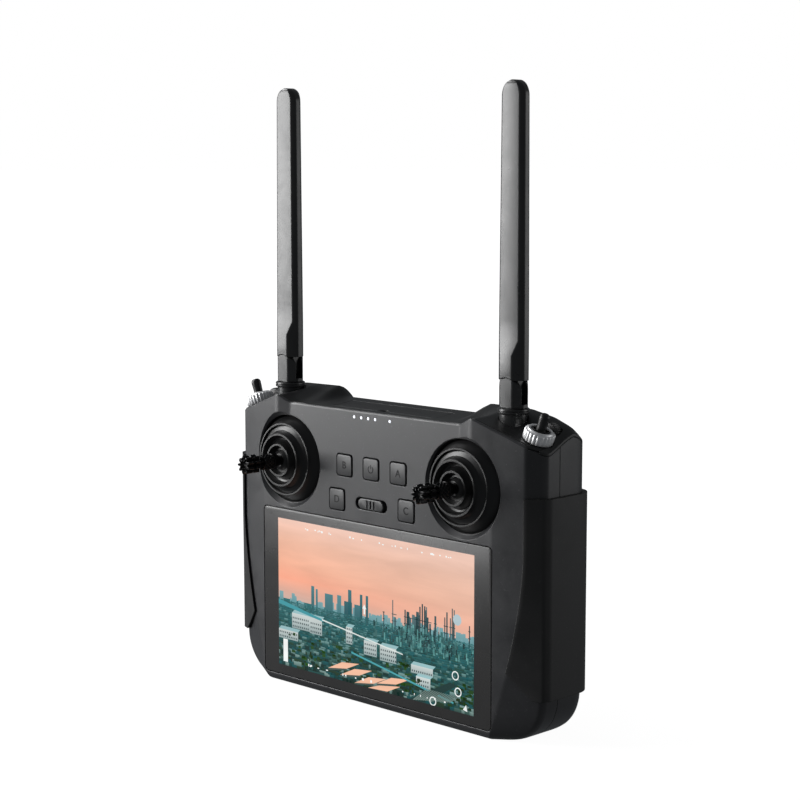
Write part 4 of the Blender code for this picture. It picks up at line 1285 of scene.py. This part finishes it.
def stick_boot(word):
    inner_crest, outer_crest = zip(CREST_RADII, CREST_HEIGHTS)
    outer = [(2.0, 15.1), (2.9, 15.1), (3.3, 14.7), (4.6, 13.5)]
    outer += flank(inner_crest, -1)[1:] + flank(inner_crest, 1)[:-1]
    outer += flank(outer_crest, -1) + flank(outer_crest, 1)[:-2]
    skirt = [(13.3, 12.45), (14.3, 12.0), (15.25, 11.6), (16.5, 9.9), (17.5, 7.9), (18.3, 5.9), (18.9, 4.1)]
    inner = [(17.7, 4.1), (16.2, 6.6), (13.5, 10.3), (9.4, 11.4), (2.0, 12.2)]
    boot = turn_profile(outer + skirt + inner, 128, stick_place(word))
    dress(boot, f"rubber_boot_{word}", BOOT, f"stick_{word}", (f"stick_boot_{word}",),
          sharp=24)


def boot_bezel(word):
    crest = [(15.5, 11.6), (15.68, 12.45), (15.74, 12.6), (16.42, 12.6)]
    slope = [(16.55, 12.25), (17.2, 10.9), (18.1, 9.4), (18.9, 8.4), (19.8, 7.5)]
    rest = [(22.4, 7.3), (22.4, 6.0), (18.9, 6.0), (18.0, 8.15), (16.85, 10.35)]
    ring = turn_profile(crest + slope + rest, 128, stick_place(word))
    dress(ring, f"boot_ring_{word}", BOOT, "case", (f"gimbal_bezel_{word}",), sharp=24)


for _, word in SIDES:
    stick_boot(word)
    boot_bezel(word)

# %% [markdown]
# ## Stick metalwork
# A cone nut clamps the boot, a knurled sleeve screws down on it, and the toothed cap gives
# the thumb its hold. Two twisted waves that cross cut the diamond knurl of the sleeve.

# %% Stick nut, sleeve and cap


def stick_metal(word):
    place = stick_place(word)
    body = f"stick_{word}"
    nut = [(1.75, 15.5), (2.3, 15.5), (2.5, 15.9), (3.1, 18.4), (3.45, 19.8), (3.5, 20.1), (3.5, 20.5),
           (3.3, 20.7), (1.75, 20.7)]
    dress(turn_profile(nut, 64, place), f"cone_nut_{word}", ANODISED, body,
          (f"stick_nut_{word}",))
    sleeve = [(1.75, 20.9), (3.1, 20.9), (3.15, 21.1), (3.6, 21.4), (3.6, 25.9), (3.15, 26.2), (3.1, 26.4),
              (1.75, 26.4)]
    item = fluted(sleeve, place, ANODISED, 14, 0.6, 3.2, 1.5, 0.22, 1.0, 10, 0.16)
    dress(item, f"knurled_sleeve_{word}", ANODISED, body, (f"stick_sleeve_{word}",),
          sharp=50)
    cap = [(0, 26.7), (3.0, 26.7), (3.1, 26.9), (3.1, 27.6), (2.3, 27.8), (2.3, 28.6), (2.4, 28.8),
           (4.0, 29.0),
           (4.2, 29.3), (4.2, 31.6), (4.0, 31.9), (2.8, 32.1), (2.8, 32.7), (4.0, 32.9), (4.2, 33.2),
           (4.2, 35.8), (3.9, 36.4), (3.4, 36.5), (1.6, 34.8), (0, 34.6)]
    item = fluted(cap, place, ANODISED, 9, 1.5, 2.5, 1.2, 0.0, 0.0, 14, 0.5)
    dress(item, f"crown_cap_{word}", ANODISED, body, (f"stick_cap_{word}",), sharp=40)


for _, word in SIDES:
    stick_metal(word)

# %% [markdown]
# ## Toggle switches and dials
# The plated nut has coarse flutes and a smooth chamfered rim. Its threaded bush shows as a
# dark ring inside, and the lever is a stout turned pin that swells into its ball.

# %% Toggles and dials


def toggle(word):
    place = toggle_place(word)
    bush = [(0, -9), (3.8, -9), (3.8, -1)]
    for i in range(12):
        bush += [(3.8, -0.8 + 0.5 * i), (3.6, -0.55 + 0.5 * i)]
    bush += [(3.75, 5.4), (3.45, 5.6), (3.2, 5.2), (3.2, -0.9), (0, -0.9)]
    dress(turn_profile(bush, 48, place), f"toggle_bush_{word}", BOOT, "case",
          (f"toggle_body_{word}",))
    nut = [(4.1, 0.3), (6.0, 0.3), (6.3, 0.5), (6.5, 0.8), (6.5, 4.3), (6.3, 4.5), (5.7, 4.7), (5.5, 4.85),
           (5.2, 5.3), (4.6, 5.4), (4.2, 5.2), (4.1, 4.9)]
    item = fluted(nut, place, CHROME, 24, 0.35, 6.25, 1.8, 0.0, 0.0, 10, 9.0)
    dress(item, f"toggle_ring_{word}", CHROME, "case", (f"toggle_nut_{word}",), sharp=40)
    lever = smooth_profile([(0.01, -0.3), (1.6, 0.0), (2.6, 1.4), (2.8, 2.6), (2.65, 4.2), (2.1, 5.6),
                            (2.08, 7.4), (2.2, 10.3), (2.05, 11.4), (1.35, 12.2), (0.01, 12.4)], 4)
    lever = [(0, -0.3)] + lever[1:-1] + [(0, 12.4)]
    dress(turn_profile(lever, 48, place), f"toggle_pin_{word}", BOOT, f"toggle_{word}",
          (f"toggle_lever_{word}",))


def dial(word):
    at = DIAL_AT[word]
    place = Matrix.Translation(at) @ Matrix.Rotation(-QUARTER_TURN, 4, "X")
    wheel = [(1.2, -1.8), (5.6, -1.8), (5.9, -1.6), (6.0, -1.4), (6.0, 1.4), (5.9, 1.6), (5.6, 1.8),
             (1.2, 1.8)]
    item = fluted(wheel, place, DECK, 36, 0.45, 5.7, 0.9, 0.0, 0.0, 8, 9.0)
    dress(item, f"dial_rim_{word}", DECK, f"dial_{word}", (f"dial_wheel_{word}",), sharp=40)


for _, word in SIDES:
    toggle(word)
    dial(word)

# %% [markdown]
# ## Antennas
# The blade is eight-sided at its foot. Above a bright bevel its front face steps back, and
# it thins towards a round tip. It folds on a knuckle: a tongue between two cheeks.

# %% Antennas
TIP_Z = high("antenna_blade_right").z
TIP_RADIUS = 6.3
BLADE = {"half_x": 6.9, "corner": 8.45, "back_y": 5.15}
FRONT_DEEP, FRONT_SHALLOW = 5.15, 3.25
STEP_START, STEP_END = 160.0, 166.0
TAPER_STEPS = 12
TIP_STEPS = 12


def blade_ring(z, half_x, corner, front_y, back_y, squeeze=1.0, thin=1.0):
    """Eight-sided section with small rounds on its edges. The cut corners lie on |x| + |y| = corner."""
    flat = corner - half_x
    ring = [(corner - front_y, -front_y), (half_x, -flat), (half_x, flat), (corner - back_y, back_y),
            (back_y - corner, back_y), (-half_x, flat), (-half_x, -flat), (front_y - corner, -front_y)]
    closed = [ring[-1]] + ring + [ring[0]]
    ring = soften(closed, {i: 0.55 for i in range(1, 9)}, 3)[1:-1]
    return [(x * squeeze, y * thin, z) for x, y in ring]


def antenna(word):
    at = ANTENNA_AT[word]
    hinge = joint_at(f"antenna_{word}_fold")
    place = Matrix.Translation((at.x, at.y, 0))
    top = at.z
    collar = [(4.3, 127), (5.9, 127), (5.9, top - 2.35), (6.45, top - 2.25), (6.7, top - 2.0),
              (6.75, top - 1.8),
              (6.75, top - 1.3), (6.5, top - 1.15), (6.5, top - 1.0), (6.75, top - 0.85), (6.75, top - 0.5),
              (6.65, top - 0.2), (6.3, top), (4.3, top)]
    dress(turn_profile(collar, 96, place), f"collar_{word}", ANTENNA_PLASTIC, "case",
          (f"antenna_collar_{word}",))

    rings = [blade_ring(z, 6.6, 8.15, 4.85, 4.85) for z in (at.z + GAP, at.z + 0.8, hinge.z + 8)]
    base = loft([[(x + at.x, y + at.y, z) for x, y, z in ring] for ring in rings])
    cheek = join(bar_back(at.x, hinge.z, at.y - 8, at.y + 8, 6.6, 96),
                 block((at.x - 8, at.y - 8, 130), (at.x + 8, at.y + 8, hinge.z)))
    base = common(base, cheek)
    base = cut(base, block((at.x - 9, at.y - 2, hinge.z - 4.1), (at.x + 9, at.y + 2, hinge.z + 12)))
    base = join(base, bar_up(at, 127.5, at.z + 1, 4.0, 48))
    base = cut(base, bar_back(at.x, hinge.z, at.y - 4.3, at.y + 8, 1.7, 32))
    pin = bar_back(at.x, hinge.z, at.y - 4.1, at.y + 4.5, 1.4, 32)
    dress(pin, f"hinge_pin_{word}", STEEL, f"antenna_base_{word}", (f"antenna_pin_{word}",))
    dress(base, f"knuckle_{word}", ANTENNA_PLASTIC, f"antenna_base_{word}",
          (f"antenna_base_{word}",))

    foot = hinge.z + 5.8
    rings = [blade_ring(z, front_y=FRONT_DEEP, **BLADE) for z in (foot, foot + 2.6, STEP_START)]
    rings.append(blade_ring(STEP_END, front_y=FRONT_SHALLOW, **BLADE))
    top = TIP_Z - TIP_RADIUS
    for step in range(1, TAPER_STEPS + 1):
        share = step / TAPER_STEPS
        rings.append(blade_ring(STEP_END + (top - STEP_END) * share, BLADE["half_x"] - 0.6 * share,
                                BLADE["corner"] - 0.8 * share, FRONT_SHALLOW - 0.25 * share,
                                BLADE["back_y"] - 0.75 * share))
    for step in range(1, TIP_STEPS + 1):
        lift = math.radians(88) * step / TIP_STEPS
        rings.append(blade_ring(top + TIP_RADIUS * math.sin(lift), TIP_RADIUS, 7.65, 3.0, 4.4,
                                math.cos(lift), 1 - 0.35 * math.sin(lift) ** 6))
    blade = loft([[(x + at.x, y + at.y, z) for x, y, z in ring] for ring in rings])
    blade = cut(blade, bar_back(at.x, hinge.z, at.y - 8, at.y + 8, 6.9, 128))
    blade = join(blade, block((at.x - 3.8, at.y - 1.7, hinge.z), (at.x + 3.8, at.y + 1.7, foot + 3)))
    blade = join(blade, bar_back(at.x, hinge.z, at.y - 1.7, at.y + 1.7, 3.8, 64))
    blade = cut(blade, bar_back(at.x, hinge.z, at.y - 8, at.y + 8, 1.7, 32))
    dress(blade, f"blade_{word}", ANTENNA_PLASTIC, f"antenna_blade_{word}",
          (f"antenna_blade_{word}",))


for _, word in SIDES:
    antenna(word)

# %% [markdown]
# ## Screws
# Six socket screws hold the rear shell. A screw head is a short cylinder with a six-sided
# hole; a small tree builds it once and stands a copy on each point.

# %% Case screws


def screw_tree():
    tree, start, end = shape_tree("screw_heads", ("Head Radius", "Head Height", "Socket Radius"))
    head = add(tree, "GeometryNodeMeshCylinder", {"Vertices": 40, "Radius": start["Head Radius"],
                                                  "Depth": start["Head Height"]})
    socket = add(tree, "GeometryNodeMeshCylinder", {"Vertices": 6, "Radius": start["Socket Radius"],
                                                    "Depth": start["Head Height"]})
    half = add(tree, "ShaderNodeMath", {0: start["Head Height"], 1: 0.45}, operation="MULTIPLY")
    lift = add(tree, "ShaderNodeCombineXYZ", {2: half.outputs[0]})
    raised = add(tree, "GeometryNodeTransform",
                 {"Geometry": socket.outputs["Mesh"], "Translation": lift.outputs[0]})
    drilled = add(tree, "GeometryNodeMeshBoolean",
                  {"Mesh 1": head.outputs["Mesh"], "Mesh 2": raised.outputs[0]},
                  operation="DIFFERENCE", solver="EXACT")
    copies = add(tree, "GeometryNodeInstanceOnPoints", {"Points": start["Geometry"],
                                                        "Instance": drilled.outputs["Mesh"],
                                                        "Rotation": (math.radians(-90), 0.0, 0.0)})
    return finish_tree(tree, start, end, copies.outputs[0])


points = bpy.data.meshes.new("screw_points")
points.from_pydata([(x * MM, (BACK - 0.9) * MM, z * MM) for x, z in SCREWS], [], [])
screws = stand("screws", points)
run_tree(screws, screw_tree(), {"Head Radius": 2.7 * MM, "Head Height": 1.4 * MM, "Socket Radius": 1.2 * MM,
                                "Finish": ANODISED})
dress(screws, "case_screws", ANODISED)

# %% [markdown]
# ## Materials for the solids that stay
# The inner modules and the stick shafts already have their real shapes, so they keep their solids and only
# take a better material.

# %% Dress the remaining solids
KEPT = {
    "display_panel": SOCKET, "fan_housing": SOCKET, "fan_rotor": SOCKET, "speaker": SOCKET,
    "main_board": BOARD, "button_board": BOARD, "battery_pack": WRAP, "charge_port": STEEL,
}
for _, word in SIDES:
    KEPT[f"gimbal_frame_{word}"] = SOCKET
    KEPT[f"gimbal_yoke_{word}"] = SOCKET
    KEPT[f"dial_encoder_{word}"] = SOCKET
    KEPT[f"stick_shaft_{word}"] = STEEL
for name, material in KEPT.items():
    node = frame["nodes"][name]
    node.data.materials.clear()
    node.data.materials.append(material)
print("solids kept", len(KEPT))

# %% [markdown]
# ## Floor, light and camera
# A pale floor under a soft studio light. One large panel stands to the left of the camera,
# where the front face mirrors it, so the front is the lightest face and the sides stay
# dark. The world is dim for the object and white behind it.

# %% Floor and world
FLOOR_REACH = 40.0
floor_mesh = bpy.data.meshes.new("floor")
corners = [(x * FLOOR_REACH, y * FLOOR_REACH, 0) for x, y in ((-1, -1), (1, -1), (1, 1), (-1, 1))]
floor_mesh.from_pydata(corners, [], [(0, 1, 2, 3)])
floor = stand("floor", floor_mesh)
paper = bpy.data.materials.new("floor_paper")
paper.use_nodes = True
tree = paper.node_tree
tree.nodes.clear()
matte = add(tree, "ShaderNodeBsdfDiffuse", {"Color": (0.12, 0.12, 0.12, 1)})
place = add(tree, "ShaderNodeTexCoord")
# painted shade: the floor's glow is a little dimmer near the object and brighter far from it, a painted
# shadow round its foot on top of the real contact shadow that the matte part catches
far = add(tree, "ShaderNodeVectorMath", {0: place.outputs["Object"]}, operation="LENGTH")
glow = add(tree, "ShaderNodeMapRange", {"Value": far.outputs["Value"], "From Min": 0.1, "From Max": 0.6,
                                        "To Min": 0.97, "To Max": 1.03})
lit = add(tree, "ShaderNodeEmission", {"Color": (1, 1, 1, 1), "Strength": glow.outputs[0]})
seen = add(tree, "ShaderNodeAddShader", {0: matte.outputs[0], 1: lit.outputs[0]})
felt = add(tree, "ShaderNodeEmission", {"Color": (1, 1, 1, 1), "Strength": 0.1})
path = add(tree, "ShaderNodeLightPath")
either = add(tree, "ShaderNodeMixShader", {0: path.outputs["Is Camera Ray"], 1: felt.outputs[0],
                                           2: seen.outputs[0]})
add(tree, "ShaderNodeOutputMaterial", {"Surface": either.outputs[0]})
floor_mesh.materials.append(paper)
floor.visible_shadow = False
floor.visible_glossy = False

world = bpy.data.worlds.new("studio")
bpy.context.scene.world = world
world.use_nodes = True
tree = world.node_tree
tree.nodes.clear()
dim = add(tree, "ShaderNodeBackground", {"Color": (0.9, 0.95, 1.0, 1), "Strength": 0.13})
bright = add(tree, "ShaderNodeBackground", {"Color": (1, 1, 1, 1), "Strength": 1.0})
path = add(tree, "ShaderNodeLightPath")
both = add(tree, "ShaderNodeMixShader", {0: path.outputs["Is Camera Ray"], 1: dim.outputs[0],
                                         2: bright.outputs[0]})
add(tree, "ShaderNodeOutputWorld", {"Surface": both.outputs[0]})

# %% Lights
TARGET = Vector((0, 0, 90)) * MM
PANELS = {
    "key_panel": {"azimuth": -50, "elevation": 14.5, "distance": 1.6, "width": 0.8, "height": 1.05,
                  "power": 30},
    "edge_panel": {"azimuth": -80, "elevation": 44, "distance": 1.5, "width": 0.6, "height": 0.4,
                   "power": 7},
    "side_panel": {"azimuth": 135, "elevation": 8, "distance": 1.6, "width": 0.8, "height": 0.8,
                   "power": 3.4},
}


def panel_light(name, azimuth, elevation, distance, width, height, power):
    """Soft panel that faces the object. Azimuth 0 stands in front of the screen."""
    a, e = math.radians(azimuth), math.radians(elevation)
    away = Vector((math.sin(a) * math.cos(e), -math.cos(a) * math.cos(e), math.sin(e)))
    light = bpy.data.lights.new(name, "AREA")
    light.shape = "RECTANGLE"
    light.size = width
    light.size_y = height
    light.energy = power
    item = stand(name, light)
    item.location = TARGET + away * distance
    item.rotation_euler = away.to_track_quat("Z", "Y").to_euler()
    item.visible_camera = False


for name, panel in PANELS.items():
    panel_light(name, **panel)
print("lights", len(PANELS))

# %% Camera
AZIMUTH, ELEVATION = math.radians(44.73), math.radians(7.08)
camera_data = bpy.data.cameras.new("camera")
camera_data.sensor_width = 36.0
camera_data.lens = 86.66
camera_data.clip_end = 50
camera = stand("camera", camera_data)
backward = Vector((math.sin(AZIMUTH) * math.cos(ELEVATION), -math.cos(AZIMUTH) * math.cos(ELEVATION),
                   math.sin(ELEVATION)))
camera.location = Vector((588.39, -593.18, 238.81)) * MM
camera.rotation_euler = backward.to_track_quat("Z", "Y").to_euler()
bpy.context.scene.camera = camera
bpy.context.scene.view_settings.view_transform = "Standard"
